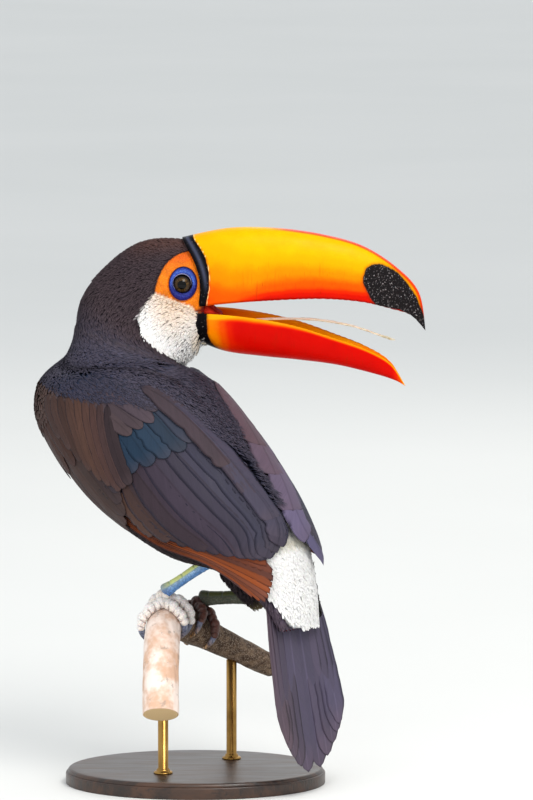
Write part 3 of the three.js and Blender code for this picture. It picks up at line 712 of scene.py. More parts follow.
shells = [(np.concatenate([skin_rings.reshape(-1, 3), skin_poles]), closed_faces(SKIN_ROWS, SKIN_SIDES))]
skin_colours = [np.concatenate([markings(skin_at, skin_angle).reshape(-1, 3), np.full((2, 3), 0.02)])]
skin_bare = [np.append(bare_face(skin_at, skin_angle).ravel(), [0, 0])]
thigh_part = np.linspace(0.03, 1.0, THIGH_ROWS)[:, None]
thigh_turn = np.linspace(0, 2 * np.pi, THIGH_SIDES, endpoint=False)[None]
for side in THIGHS:
    rings = thigh_point(side)(thigh_part, thigh_turn, -THIGH_DEPTH)
    points = np.concatenate([rings.reshape(-1, 3), rings[[0, -1]].mean(1)])
    shells.append((points, closed_faces(THIGH_ROWS, THIGH_SIDES)))
    skin_colours.append(np.full(points.shape, 0.006))
    skin_bare.append(np.zeros(len(points)))
for side in (-1, 1):
    points, colours = eye_ring(side)
    around = torus_faces(len(RING), RING_SIDES)
    shells.append((points.reshape(-1, 3), [around if side < 0 else around[:, ::-1]]))
    skin_colours.append(colours.reshape(-1, 3))
    skin_bare.append(np.full(len(skin_colours[-1]), 2.0))


def node_group(name, inputs, outputs):
    """A new shader group, its inputs to read from and its outputs to fill. A socket has a name and a kind."""
    group = bpy.data.node_groups.new(name, "ShaderNodeTree")
    for way, sockets in (("INPUT", inputs), ("OUTPUT", outputs)):
        for socket, kind in sockets.items():
            group.interface.new_socket(socket, in_out=way, socket_type="NodeSocket" + kind)
    return group, group.nodes.new("NodeGroupInput").outputs, group.nodes.new("NodeGroupOutput").inputs


COAT_LOOKS = {"Colour": "Color", "Height": "Float", "Roughness": "Float"}

pebbles, given, result = node_group(
    "pebbled_skin", {"Place": "Vector", "Scale": "Float", "Colour": "Color", "Creases": "Float"}, COAT_LOOKS)
wobble = node(pebbles, "TexNoise", {"Vector": given["Place"], "Scale": 300.0, "Detail": 2.0})
pushed = node(pebbles, "VectorMath", {0: wobble.outputs["Color"], "Scale": 0.0012}, operation="SCALE")
pushed = node(pebbles, "VectorMath", {0: given["Place"], 1: pushed.outputs[0]}, operation="ADD")
grid = {"Vector": pushed.outputs[0], "Scale": given["Scale"], "Smoothness": 0.35}
cells = node(pebbles, "TexVoronoi", grid, feature="SMOOTH_F1")
dome = between(pebbles, cells.outputs["Distance"], 0.1, 0.75, 1.0, 0.0)
# Painted shade: the creases between the scales take a darker copy of the skin's colour, by the share Creases.
crevice_shade = times(pebbles, calc(pebbles, "SUBTRACT", 1.0, dome), given["Creases"])
dark = node(pebbles, "HueSaturation", {"Color": given["Colour"], "Value": 0.32, "Saturation": 1.1})
mottle = between(pebbles, speckle(pebbles, given["Place"], 150.0, 3.0), 0.3, 0.7, 0.8, 1.2)
light = node(pebbles, "HueSaturation", {"Color": given["Colour"], "Value": mottle})
pebbles.links.new(mixed(pebbles, crevice_shade, light.outputs[0], dark.outputs[0]), result["Colour"])
pebbles.links.new(dome, result["Height"])
pebbles.links.new(between(pebbles, dome, 0.0, 1.0, 0.65, 0.42), result["Roughness"])


def pebbled(tree, place, scale, colour, creases):
    """Colour, height and roughness of skin with a pattern of small raised scales, so many to the metre, and
    painted shade in the creases between them.
    """
    values = {"Place": place, "Scale": scale, "Colour": colour, "Creases": creases}
    made = node(tree, "Group", values, node_tree=pebbles)
    return [made.outputs[look] for look in COAT_LOOKS]


bird_skin, tree, shader = new_material("bird_skin", Subsurface_Weight=0.08, Subsurface_Scale=0.002,
                                       Specular_IOR_Level=0.2)
bare = read(tree, "bare", "Fac")
grain = between(tree, bare, 1.2, 1.8, 950.0, 1250.0)
# The last input is the share of painted shade in the creases: least on feathered skin, most on the eyes'
# rings.
colour, height, rough = pebbled(tree, object_place(tree), grain, read(tree, "coat", "Color"),
                                between(tree, bare, 0.2, 2.0, 0.2, 0.75))
dress(tree, shader, colour, rough, height, 0.22)
skin = put("skin", *join_shells(shells), coat=with_alpha(np.concatenate(skin_colours)),
           bare=np.concatenate(skin_bare))
finish_piece(skin, "body_plumage", "head", "neck", "trunk", "thigh_left", "thigh_right", skin=bird_skin)

# ---- Eyes ----
# Glossy balls with a slightly raised cornea, an olive-brown iris with fine spokes and a round black pupil,
# set under the lids' margin.
PUPIL, IRIS, CORNEA, EYE_BACK = 3.3, 6.1, 0.35, 20
EYE_ROWS, EYE_SIDES = 40, 72

iris_glass, tree, shader = new_material("eye", Coat_Weight=0.4, Coat_Roughness=0.02, Roughness=0.1,
                                        Specular_IOR_Level=0.0)
disc = read(tree, "disc")
spot = node(tree, "SeparateXYZ", {0: disc}).outputs
spokes = speckle(tree, stretched(tree, disc, (0.15, 9.0, 9.0)), 1.0, 3.0)
iris = mixed(tree, between(tree, spokes, 0.35, 0.65), tint("#2c1c0b"), tint("#57401d"))
iris = mixed(tree, between(tree, spot[0], 4.6, 6.0), iris, tint("#160e07"))
eye_colour = mixed(tree, between(tree, spot[0], PUPIL - 0.12, PUPIL + 0.12), tint("#020202"), iris)
dress(tree, shader, mixed(tree, between(tree, spot[0], IRIS - 0.1, IRIS + 0.3), eye_colour, tint("#0d0a08")))
for name, side in (("left", 1), ("right", -1)):
    lean = np.linspace(0.0, np.pi, EYE_ROWS + 2)[1:-1, None]
    turn = np.linspace(0, 2 * np.pi, EYE_SIDES, endpoint=False)[None] * -side
    ball_radius = EYE_RADIUS + CORNEA * np.exp(-((lean / 0.55) ** 2))
    ring = ball_radius * np.sin(lean)
    points = head_point(EYE_FORWARD + ring * np.cos(turn), side * (EYE_ASIDE + ball_radius * np.cos(lean)),
                        EYE_UP + ring * np.sin(turn))
    poles = head_point(EYE_FORWARD, side * (EYE_ASIDE + np.array([EYE_RADIUS + CORNEA, -EYE_RADIUS])), EYE_UP)
    off_axis = EYE_RADIUS * np.sin(lean) + EYE_BACK * (lean > 1.5)
    spread_out = np.stack(np.broadcast_arrays(off_axis, np.cos(turn), np.sin(turn)), -1)
    disc = np.concatenate([spread_out.reshape(-1, 3), [[0, 0, 0], [EYE_BACK, 0, 0]]])
    ball = put(f"eyeball_{name}", np.concatenate([points.reshape(-1, 3), poles]),
               closed_faces(EYE_ROWS, EYE_SIDES), disc=disc)
    finish_piece(ball, "eye", f"eye_{name}", skin=iris_glass)

# ---- Bill ----
# Two light hollow halves of horn. The upper one is yellow to orange with a red keel and cutting edge, the
# lower one orange to red. A black band runs round the root and a black spot covers the upper half's tip.
# Columns: forward and up of the cutting edge, forward and up of the keel, half-width.
UPPER_BILL = np.array([
    [3, 2.6, -10, 52.5, 20], [25, 5, 25, 59.5, 20], [60, 7.4, 60, 59.5, 18.5], [95, 8.2, 95, 54.8, 16.5],
    [125, 5.5, 126, 46, 14], [148, -0.4, 152, 29.5, 10.5], [163, -6.2, 169, 10, 6],
    [174, -19, 174, -19, 0]], float)
LOWER_BILL = np.array([
    [0, -2.6, -1, -25, 18.5], [27, -4.4, 22, -34, 18.5], [54, -8.4, 50, -38, 16.5],
    [79, -14.2, 79, -41, 14.5],
    [103, -22.4, 108, -45, 12], [128, -31.8, 136, -52, 8.5], [147, -43.2, 151, -57, 5],
    [159, -61.5, 159, -61.5, 0]], float)
BILL_ROWS, WALL_SIDES, HOLLOW_SIDES = 260, 96, 24
PALATE, TROUGH, BROW_CURVE = 6.0, 10.0, 6.0
TIP_SPOT = np.array([
    [126.4, 23.9], [128.6, 30.2], [133, 33.2], [138.8, 33.6], [146, 30.6], [152, 26.5], [160.5, 17.5],
    [167, 7.5],
    [172, -6], [176, -22], [172, -24], [166, -12], [161, -5.2], [154, -1.5], [147, 0.2], [140, 1.6],
    [135.6, 3.2],
    [131.8, 8.6], [128.6, 14.8], [126.6, 19.5]])
BAND_EDGE = np.array([
    [-8, 7.2], [1.7, 7.8], [6.2, 8.25], [16.8, 10.2], [28.1, 10.2], [39.4, 7.5], [45.5, 4.2], [53, -1.5],
    [60, -3]])
LOWER_BAND_EDGE = np.array([[-37, 22.0], [-32, 17.0], [-26, 11.5], [-18, 9.0], [-4, 8.6]])
UPPER_STOPS = [
    (0.0, "#fac200"), (0.2, "#fdae00"), (0.42, "#fe8c00"), (0.62, "#fb5800"), (0.8, "#f02800"),
    (1.0, "#d81000")]
LOWER_STOPS = [
    (0.0, "#fcae08"), (0.28, "#fa8400"), (0.5, "#f45000"), (0.72, "#e82000"), (0.9, "#d80800"),
    (1.0, "#c80400")]


def bill_half(rows, depth, brow, side_sign):
    """Rings of one half of the bill, from the root to the tip, with what its colours need at each point.

    The outer wall rises from one cutting edge over the keel to the other: its rise is a sine to the power
    0.9 and its half-width a cosine to the power 0.75. The inside is a parabola that is depth deep.
    """
    row = (len(rows) - 1) * (1 - (1 - np.linspace(0, 1, BILL_ROWS + 1)[:-1]) ** 1.35)[:, None]
    edge_x, edge_z, keel_x, keel_z, wide = np.moveaxis(through(rows, row), -1, 0)
    tall = np.hypot(keel_x - edge_x, keel_z - edge_z)
    wide = np.maximum(wide, 0)
    turn = np.linspace(0, np.pi, WALL_SIDES + 1)[None]
    wall_rise, wall_left = np.sin(turn) ** 0.9, -np.sign(np.cos(turn)) * np.abs(np.cos(turn)) ** 0.75
    across = np.linspace(1, -1, HOLLOW_SIDES + 1)[None, 1:-1]
    sink = np.minimum(depth, tall * 0.4) * np.minimum(1, wide / 10)
    rise = np.concatenate([wall_rise + 0 * row, sink * (1 - across**2) / tall], 1)
    left = np.concatenate([wall_left + 0 * row, across + 0 * row], 1) * wide
    inside = np.concatenate([0 * turn, 1 + 0 * across], 1) + 0 * row
    root = brow * np.maximum(0, 1 - row) ** 2 * 4 * rise * np.maximum(0, 1 - rise)
    forward = edge_x + (keel_x - edge_x) * rise + root
    up = edge_z + (keel_z - edge_z) * rise
    teeth = 0.3 * np.abs(np.sin(forward * 0.62 + 0.6 * np.sin(forward * 0.23))) * steps(forward, 35, 60)
    up = up - side_sign * teeth * np.exp(-((rise / 0.035) ** 2)) * steps(tall, 4, 12)
    keel_gap = np.sqrt(left**2 + ((1 - rise) * tall) ** 2)
    edge_gap = rise * tall
    root_gap = forward - edge_x[0] - (keel_x[0] - edge_x[0]) * rise
    root_gap = root_gap - brow * 4 * rise * np.maximum(0, 1 - rise)
    tip = through(rows, np.array([len(rows) - 1.0]))
    ends = np.array([[np.mean(forward[0]), 0, np.mean(up[0])], [tip[0, 0], 0, tip[0, 1]]])
    points = np.concatenate([np.stack([forward, left, up], -1).reshape(-1, 3), ends])
    place = head_point(points[:, 0], points[:, 1], points[:, 2])
    fill = {"rise": rise, "keel": keel_gap, "edge": edge_gap, "root": root_gap, "inside": inside}
    fields = {key: np.append(value.ravel(), value[[0, -1], [0, WALL_SIDES // 2]])
              for key, value in fill.items()}
    return place, points, fields


def polygon_depth(x, y, corners):
    """Distance to the outline of a polygon, positive inside it."""
    nearest, crossings = np.full(x.shape, 1e9), np.zeros(x.shape)
    for (ax, ay), (bx, by) in zip(corners, np.roll(corners, -1, 0)):
        squared = (bx - ax) ** 2 + (by - ay) ** 2
        share = np.clip(((x - ax) * (bx - ax) + (y - ay) * (by - ay)) / squared, 0, 1)
        nearest = np.minimum(nearest, np.hypot(x - ax - share * (bx - ax), y - ay - share * (by - ay)))
        crosses = ((ay > y) != (by > y)) & (x < ax + (bx - ax) * (y - ay) / (by - ay + 1e-9))
        crossings = crossings + crosses
    return np.where(crossings % 2 == 1, nearest, -nearest)


def horn(name, stops):
    """A bill half's material. stops are its colours by the colour place: a list of (place, colour)."""
    made, tree, shader = new_material(name, Specular_IOR_Level=0.1, IOR=1.3, Subsurface_Weight=0.06,
                                      Subsurface_Scale=0.002)
    place = object_place(tree)
    waver = calc(tree, "SUBTRACT", speckle(tree, place, 90.0, 5.0, 0.6), 0.5)
    fine = speckle(tree, stretched(tree, place, (5.0, 1.0, 1.0)), 160.0, 4.0, 0.6)
    fine = calc(tree, "SUBTRACT", fine, 0.5)
    warmth = calc(tree, "MULTIPLY_ADD", waver, 0.16, read(tree, "warmth", "Fac"))
    ramp = node(tree, "ValToRGB", {"Fac": warmth})
    ramp.color_ramp.interpolation = "EASE"
    while len(ramp.color_ramp.elements) < len(stops):
        ramp.color_ramp.elements.new(0.5)
    for element, (at, code) in zip(ramp.color_ramp.elements, stops):
        element.position = at
        element.color = tint(code)
    lines = speckle(tree, stretched(tree, place, (1.0, 0.2, 0.09)), 1500.0, 3.0, 0.6)
    marks = speckle(tree, stretched(tree, place, (1.0, 0.15, 0.12)), 330.0, 2.0, 0.5)
    scratches = plus(tree, between(tree, lines, 0.6, 0.72), between(tree, marks, 0.56, 0.8, 0.0, 0.7))
    low = read(tree, "lines", "Fac")
    scratches = times(tree, times(tree, scratches, low), 0.6)
    colour = mixed(tree, scratches, ramp.outputs[0], tint("#8a2c02"))
    dark_gap = calc(tree, "MULTIPLY_ADD", waver, 1.6, read(tree, "dark", "Fac"))
    dark_gap = calc(tree, "MULTIPLY_ADD", fine, 1.2, dark_gap)
    halo = between(tree, dark_gap, -2.6, 0.2)
    colour = mixed(tree, times(tree, halo, 0.55), colour, tint("#7a2a08"))
    worn = read(tree, "worn", "Fac")
    black = mixed(tree, worn, tint("#0b0a0d"), tint("#1b1819"))
    nicks = calc(tree, "MULTIPLY_ADD", worn, 0.05, speckle(tree, place, 700.0, 5.0, 0.7))
    black = mixed(tree, between(tree, nicks, 0.61, 0.74), black, tint("#9a9292"))
    # Painted sheen: a bluish-grey painted highlight over the black band's upper part near the root.
    black = mixed(tree, read(tree, "gloss", "Fac"), black, tint("#4c5066"))
    colour = mixed(tree, between(tree, dark_gap, -0.45, 0.35), colour, black)
    cream = between(tree, read(tree, "pale", "Fac"), 0.25, 0.75)
    colour = mixed(tree, cream, colour, tint("#ffd98a"))
    wear = speckle(tree, place, 60.0, 4.0)
    grain = plus(tree, times(tree, lines, 0.5), times(tree, fine, 0.35))
    dress(tree, shader, colour, between(tree, wear, 0.3, 0.7, 0.26, 0.4), grain, 0.1)
    return made


def bill_warmth(forward, rise, keel, edge):
    """The upper half's place between yellow, 0, and red, 1: warm along keel, edge, root and tip."""
    low = steps(rise, 0.95, -0.1) * (0.56 + 0.26 * steps(forward, 20, 80))
    root = 0.16 * steps(forward, 50, 6)
    rim = 0.36 * steps(edge, 9, 0) * steps(forward, 20, 60)
    ridge = 0.62 * steps(keel, 6.4, 3.6) * steps(forward, 48, 76)
    tip = 0.3 * steps(forward, 118, 150)
    return np.clip(np.maximum(low + root + rim + tip * 0.6, ridge + 0.1), 0, 1)


upper_place, upper_points, upper = bill_half(UPPER_BILL, PALATE, BROW_CURVE, 1)
forward, up = upper_points[:, 0], upper_points[:, 2]
spot_depth = polygon_depth(forward, up, TIP_SPOT)
band_depth = np.minimum(np.interp(up, BAND_EDGE[:, 0], BAND_EDGE[:, 1]) - forward, upper["root"] + 1.5)
dark = np.maximum(spot_depth, band_depth * 1.2) - 12 * upper["inside"]
margin = np.exp(-(((band_depth + 0.55) / 0.4) ** 2)) * (1 - upper["inside"]) * (upper["root"] > 4)
tomium = np.exp(-(((upper["edge"] - 0.35) / 0.3) ** 2)) * steps(forward, 14, 30) * steps(forward, 150, 120)
bill_upper = put(
    "bill_upper_horn", upper_place, closed_faces(BILL_ROWS, WALL_SIDES + HOLLOW_SIDES),
    warmth=bill_warmth(forward, upper["rise"], upper["keel"], upper["edge"]), dark=dark,
    pale=0.7 * margin + 0.6 * tomium,
    # gloss: a painted highlight on the black band's upper part.
    gloss=0.7 * np.exp(-(((upper["root"] - 3.6) / 1.3) ** 2)) * steps(up, 10, 28),
    worn=steps(forward, 100, 120),
    lines=steps(upper["rise"], 0.75, 0.2) * steps(forward, 25, 45) * steps(forward, 128, 105))
finish_piece(bill_upper, "bill_horn", "bill_upper", skin=horn("upper_horn", UPPER_STOPS))

lower_place, lower_points, lower = bill_half(LOWER_BILL, TROUGH, 0.0, -1)
forward, up = lower_points[:, 0], lower_points[:, 2]
low_band = np.interp(up, LOWER_BAND_EDGE[:, 0], LOWER_BAND_EDGE[:, 1]) - forward
low_band = low_band * (0.35 + 0.65 * steps(up, -30, -18))
warm = 0.3 + 0.62 * steps(forward, 10, 34) - 0.5 * steps(forward, 146, 159)
warm = warm - 0.12 * steps(lower["rise"], 0.3, 0.9) * steps(forward, 60, 20)
pale_edge = 5.5 - 2.4 * steps(forward, 35, 95)
warm = warm - 0.8 * steps(lower["edge"] / pale_edge, 1.0, 0.15)
# Painted light: the inner wall is paler and yellower than the outside, a painted glow of light shining
# through the thin horn.
painted_inner_glow = 0.45 - 0.35 * steps(forward, 10, 60) + 0.3 * steps(forward, 110, 150)
warm = np.where(lower["inside"] > 0, painted_inner_glow, warm)
none = 0 * warm
bill_lower = put(
    "bill_lower_horn", lower_place, closed_faces(BILL_ROWS, WALL_SIDES + HOLLOW_SIDES),
    warmth=np.clip(warm, 0, 1), dark=low_band - 12 * lower["inside"], pale=none, gloss=none, worn=none,
    lines=0.5 * steps(lower["rise"], 0.1, 0.4) * steps(forward, 25, 45))
bill_lower.data.flip_normals()
finish_piece(bill_lower, "bill_horn", "bill_lower", skin=horn("lower_horn", LOWER_STOPS))

# ---- Mouth ----
# Soft dark red skin that joins the two halves of the bill at the mouth's corners and closes the throat. It
# is folded in fine lengthwise pleats.


def swept(path, side, wide, high, sides):
    """A tube along path, N points: an oval, wide along side and high across it, stands square on each point.

    Rings of sides points come first, then the path's first and last point as poles.
    """
    along = unit(np.gradient(path, axis=0))
    side = np.broadcast_to(np.asarray(side, float), path.shape)
    across = unit(side - along * (side * along).sum(-1, keepdims=True))
    rise = np.cross(across, along)
    turn = np.linspace(0, 2 * np.pi, sides, endpoint=False)[None, :, None]
    wide, high = (np.broadcast_to(size, (len(path), sides))[..., None] if np.ndim(size) == 2
                  else np.broadcast_to(size, len(path))[:, None, None] for size in (wide, high))
    rings = path[:, None] + across[:, None] * wide * np.cos(turn) + rise[:, None] * high * np.sin(turn)
    return np.concatenate([rings.reshape(-1, 3), path[[0, -1]]])


MOUTH_ROWS, MOUTH_SIDES = 40, 72
leftwards = head_point(0, 1, 0) - head_point(0, 0, 0)
part = np.linspace(0, 1, MOUTH_ROWS)
lining_path = head_point(5 + 15.5 * part, 0, -0.2 - 6.0 * part)
ends = np.sqrt(1 - (2 * part - 1) ** 8 * 0.98)
turn = np.linspace(0, 2 * np.pi, MOUTH_SIDES, endpoint=False)
pleats = 1 + 0.03 * np.sin(turn * 24)[None] * steps(part, 0, 0.3)[:, None]
lining_wide, lining_high = ((size * ends)[:, None] * pleats for size in (17 - 3 * part, 6 - 5.5 * part))
lining = swept(lining_path, leftwards, lining_wide, lining_high, MOUTH_SIDES)
flesh, tree, shader = new_material("mouth_skin", Specular_IOR_Level=0.1)
shade = speckle(tree, object_place(tree), 160.0, 4.0)
red = mixed(tree, between(tree, shade, 0.35, 0.65), tint("#8a100b"), tint("#c9301a"))
dress(tree, shader, red, between(tree, shade, 0.3, 0.7, 0.8, 0.95), shade, 0.3)
mouth = put("mouth_lining_skin", lining, closed_faces(MOUTH_ROWS, MOUTH_SIDES))
finish_piece(mouth, "mouth_skin", "mouth_lining", skin=flesh)

# ---- Tongue ----
# A thin dry blade like a feather, pale horn-coloured, with bristles that point forwards along both its
# edges. It rises a little out of the lower half of the bill.
TONGUE = np.array([[22, -13], [46, -10.5], [71, -9.7], [96, -11.2], [121, -16], [148, -26]], float)
TONGUE_ROWS, TONGUE_SIDES, BRISTLES, BRISTLE_ROWS = 120, 16, 64, 5

part = np.linspace(0, 1, TONGUE_ROWS)
spine = through(TONGUE, part * (len(TONGUE) - 1))
taper = np.sqrt(1 - 0.97 * part**3) * steps(part, -0.02, 0.03)
notches = 1 - 0.16 * steps(part, 0.35, 0.6) * np.abs(np.sin(part * 90))
blade = swept(head_point(spine[:, 0], 0, spine[:, 1]), leftwards, 4.0 * taper * notches, 0.7 * taper,
              TONGUE_SIDES)
rng = np.random.default_rng(7)
start = np.repeat(np.linspace(0.4, 0.985, BRISTLES), 2) + rng.uniform(-0.004, 0.004, BRISTLES * 2)
way = np.tile([-1.0, 1.0], BRISTLES)
reach = np.linspace(0, 1, BRISTLE_ROWS)[None]
bristle_part = np.clip(start[:, None] + reach * 0.05, 0, 1)
bristle_spine = through(TONGUE, bristle_part * (len(TONGUE) - 1))
root_wide = 3.6 * np.sqrt(1 - 0.97 * start[:, None] ** 3)
bristle = head_point(bristle_spine[..., 0] + 3.0 * reach * (start[:, None] > 0.9),
                     way[:, None] * (root_wide + 0.7 * reach),
                     bristle_spine[..., 1] + reach * rng.uniform(-0.4, 0.7, (BRISTLES * 2, 1)))
thin = 0.32 * (1 - 0.85 * reach)
ring = np.stack([np.cos([0, 2.09, 4.19]), np.sin([0, 2.09, 4.19])], -1)
across = leftwards[None, None] * ring[:, :1] + np.array([0, 0, 1.0]) * ring[:, 1:]
tubes = bristle[:, :, None] + thin[..., None, None] * across
tubes = np.concatenate([tubes.reshape(BRISTLES * 2, -1, 3), bristle[:, [0, -1]]], 1)
shells = [(blade, closed_faces(TONGUE_ROWS, TONGUE_SIDES)),
          (tubes.reshape(-1, 3), closed_faces(BRISTLE_ROWS, 3, BRISTLES * 2))]
dry_horn, tree, shader = new_material("tongue_horn", Subsurface_Weight=0.2, Subsurface_Scale=0.002)
streak = speckle(tree, stretched(tree, object_place(tree), (0.15, 1.0, 1.0)), 900.0, 3.0)
pale = mixed(tree, between(tree, streak, 0.35, 0.65), tint("#cdb893"), tint("#f2e6cc"))
dress(tree, shader, pale, between(tree, streak, 0.3, 0.7, 0.4, 0.6), streak, 0.12)
tongue = put("tongue_blade", *join_shells(shells))
finish_piece(tongue, "tongue", "tongue", skin=dry_horn)

# ---- Small plumage ----
# Thousands of thin overlapping feather tufts, each a closed sliver of solid mesh. They are rooted in the
# skin and lie back along the body, smallest round the face and at the feet.
TUFT_PROFILE = np.array([[-1.0, 0.0], [0.0, 0.34], [1.0, 0.0]])
TUFT_ALONG = np.array([0.0, 0.22, 0.55, 0.85, 1.0])
TUFT_WIDTH = np.array([0.0, 0.85, 1.0, 0.62, 0.0])
PATCH = 0.003
R2_STEPS = 0.7548776662, 0.5698402910
STATION_GAP = 22


def slopes(surface, u, v, out=0.0):
    """Points of a surface, and how they move for a unit of u and for a unit of v, found by small nudges."""
    here = surface(u, v, out)
    return here, (surface(u + NUDGE, v, out) - here) / NUDGE, (surface(u, v + NUDGE, out) - here) / NUDGE


def laid(surface, u, v, out, half, profile):
    """Feathers that hug a surface: each one's section rings and two ends, and the surface's normals there.

    u, v and out place the shaft's points: one row for each feather. At each point the surface's slopes
    give the direction square to the shaft, and the profile, in half-widths across and millimetres up,
    is laid along it on the surface itself.
    """
    here, slope_u, slope_v = slopes(surface, u, v, out)
    outward = surface(u, v, out + 1) - here
    normal = np.cross(slope_u, slope_v)
    normal = unit(normal * np.sign((normal * outward).sum(-1, keepdims=True)))
    across = unit(np.cross(normal, np.gradient(here, axis=1)))
    uu, vv, uv = ((a * b).sum(-1) for a, b in ((slope_u, slope_u), (slope_v, slope_v), (slope_u, slope_v)))
    au, av = (across * slope_u).sum(-1), (across * slope_v).sum(-1)
    area = uu * vv - uv * uv
    du, dv = (au * vv - av * uv) / area, (av * uu - au * uv) / area
    x, z = profile[..., 0], profile[..., 1]
    rings = slice(1, -1)
    wide = half[:, rings, None] * x
    aside_u, aside_v = (np.clip(step[:, rings, None] * wide, -0.25, 0.25) for step in (du, dv))
    points = surface(u[:, rings, None] + aside_u, v[:, rings, None] + aside_v, out[:, rings, None] + z)
    points = np.concatenate([points.reshape(len(u), -1, 3), here[:, [0, -1]]], 1)
    return points, np.concatenate([np.repeat(normal[:, rings], len(x), 1), normal[:, [0, -1]]], 1)


def scatter(surface, u_span, v_span, gap, keep, seed):
    """Even but random places on a surface, about gap millimetres apart, where keep(u, v) says so.

    They are the points of the R2 sequence, thinned by the surface's area there and by keep's chance.
    """
    def area(u, v):
        return np.linalg.norm(np.cross(*slopes(surface, u, v)[1:]), axis=-1)

    sample_u, sample_v = np.meshgrid(np.linspace(*u_span, 40), np.linspace(*v_span, 40))
    largest = area(sample_u, sample_v).max()
    count = int(largest * (u_span[1] - u_span[0]) * (v_span[1] - v_span[0]) / gap**2)
    order = np.arange(count) + 0.5
    u = u_span[0] + (u_span[1] - u_span[0]) * (order * R2_STEPS[0] % 1)
    v = v_span[0] + (v_span[1] - v_span[0]) * (order * R2_STEPS[1] % 1)
    rng = np.random.default_rng(seed)
    kept = rng.random(count) < area(u, v) / largest * keep(u, v)
    return u[kept], v[kept], np.random.default_rng(seed + 1)


def tuft_arrays(surface, u, v, rng, length, width, deep, proud, lean=0.0, waver=0.12, ridge=1.0):
    """Tufts at places u, v of a surface whose u runs down the body, and each point's share along its tuft.

    length, width: in millimetres. deep: depth of the root. proud: height of the tip. lean: turn in radians.
    ridge: height of the section's ridge over the usual one.
    """
    sizes = (length, width, deep, proud, lean)
    length, width, deep, proud, lean = (np.broadcast_to(np.asarray(x, float), u.shape) for x in sizes)
    length = length * rng.uniform(0.8, 1.2, u.shape)
    width = width * rng.uniform(0.75, 1.25, u.shape)
    lean = lean + rng.normal(0, waver, u.shape)
    slope_u, slope_v = (np.linalg.norm(slope, axis=-1) for slope in slopes(surface, u, v)[1:])
    along = TUFT_ALONG[None]
    curl = rng.normal(0, 0.08, u.shape)[:, None] * along
    turned = lean[:, None] + curl
    run_u = u[:, None] + (np.cos(turned) * along) * (length / slope_u)[:, None]
    run_v = v[:, None] + (np.sin(turned) * along) * (length / slope_v)[:, None]
    rise = 1 - (1 - along) ** 2.2
    out = -deep[:, None] + (deep + proud + ridge * rng.uniform(-0.25, 0.35, u.shape))[:, None] * rise
    half = 0.5 * width[:, None] * TUFT_WIDTH[None]
    points, lie = laid(surface, run_u, run_v, out, half, TUFT_PROFILE * [1.0, ridge])
    inner = np.repeat(TUFT_ALONG[1:-1], len(TUFT_PROFILE))
    return points, np.concatenate([inner, [0.0, 1.0]]), lie


def plumes(name, groups, material, slot, *nodes, soft=0.3):
    """Joins groups of tufts to one piece.

    Each group: points, share along, surface normals, root places and colours.
    """
    rings, sides = len(TUFT_ALONG) - 2, len(TUFT_PROFILE)
    all_points = np.concatenate([group[0] for group in groups])
    count = len(all_points)
    share = groups[0][1]
    lie, roots, colours = (np.concatenate([group[k] for group in groups]) for k in (2, 3, 4))
    luck = np.random.default_rng(count).random(count)
    side = np.concatenate([np.tile(TUFT_PROFILE[:, 0], rings), [0, 0]])
    patch = np.stack([side * 0.5, share - 0.5], -1) * PATCH
    span = np.ptp(roots, 0)
    places = (roots - roots.min(0)) / span * (1 - 2 * PATCH) + PATCH
    places = places[:, None] + patch[None]
    vane = np.stack(np.broadcast_arrays(side[None], share[None], luck[:, None]), -1)
    coat = np.broadcast_to(with_alpha(colours)[:, None], (count, len(share), 4))
    piece = put(name, all_points, closed_faces(rings, sides, count), places.reshape(-1, 2),
                lie=lie, soft=soft, coat=coat, vane=vane)
    finish_piece(piece, slot, *nodes, skin=material)


barbs, given, result = node_group("feather_barbs", {
    "Colour": "Color", "Tip": "Color", "Tip share": "Float", "Tip from": "Float", "Barbs": "Float",
    "Contrast": "Float", "Shaft": "Float"}, COAT_LOOKS)
across, along, luck = node(barbs, "SeparateXYZ", {0: read(barbs, "vane")}).outputs
outside = calc(barbs, "ABSOLUTE", across)
slant = calc(barbs, "SUBTRACT", along, times(barbs, outside, 0.16))
lane = {0: times(barbs, across, 0.7), 1: times(barbs, slant, given["Barbs"]),
        2: times(barbs, luck, 57.0)}
barb = speckle(barbs, node(barbs, "CombineXYZ", lane).outputs[0], 1.0, 3.0, 0.6)
coarse = times(barbs, slant, times(barbs, given["Barbs"], 0.16))
lane = {0: across, 1: coarse, 2: times(barbs, luck, 91.0)}
clump = speckle(barbs, node(barbs, "CombineXYZ", lane).outputs[0], 1.0, 2.0)
wave = plus(barbs, plus(barbs, barb, clump), between(barbs, luck, 0.0, 1.0, -1.3, -0.7))
wave = calc(barbs, "SUBTRACT", wave, between(barbs, along, 0.0, 0.5, 0.4, 0.0))
value = calc(barbs, "MULTIPLY_ADD", wave, given["Contrast"], 1.0)
frayed = plus(barbs, along, times(barbs, clump, 0.12))
at_tip = times(barbs, given["Tip share"], between(barbs, frayed, given["Tip from"], 1.06))
ground = mixed(barbs, at_tip, given["Colour"], given["Tip"])
shaft = times(barbs, between(barbs, outside, 0.03, 0.1, 1.0, 0.0), given["Shaft"])
value = calc(barbs, "SUBTRACT", value, times(barbs, shaft, 0.35))
shaded = node(barbs, "VectorMath", {0: ground, "Scale": value}, operation="SCALE").outputs[0]
barbs.links.new(shaded, result["Colour"])
barbs.links.new(plus(barbs, barb, times(barbs, shaft, 2.0)), result["Height"])
barbs.links.new(between(barbs, clump, 0.25, 0.75, 0.5, 0.75), result["Roughness"])


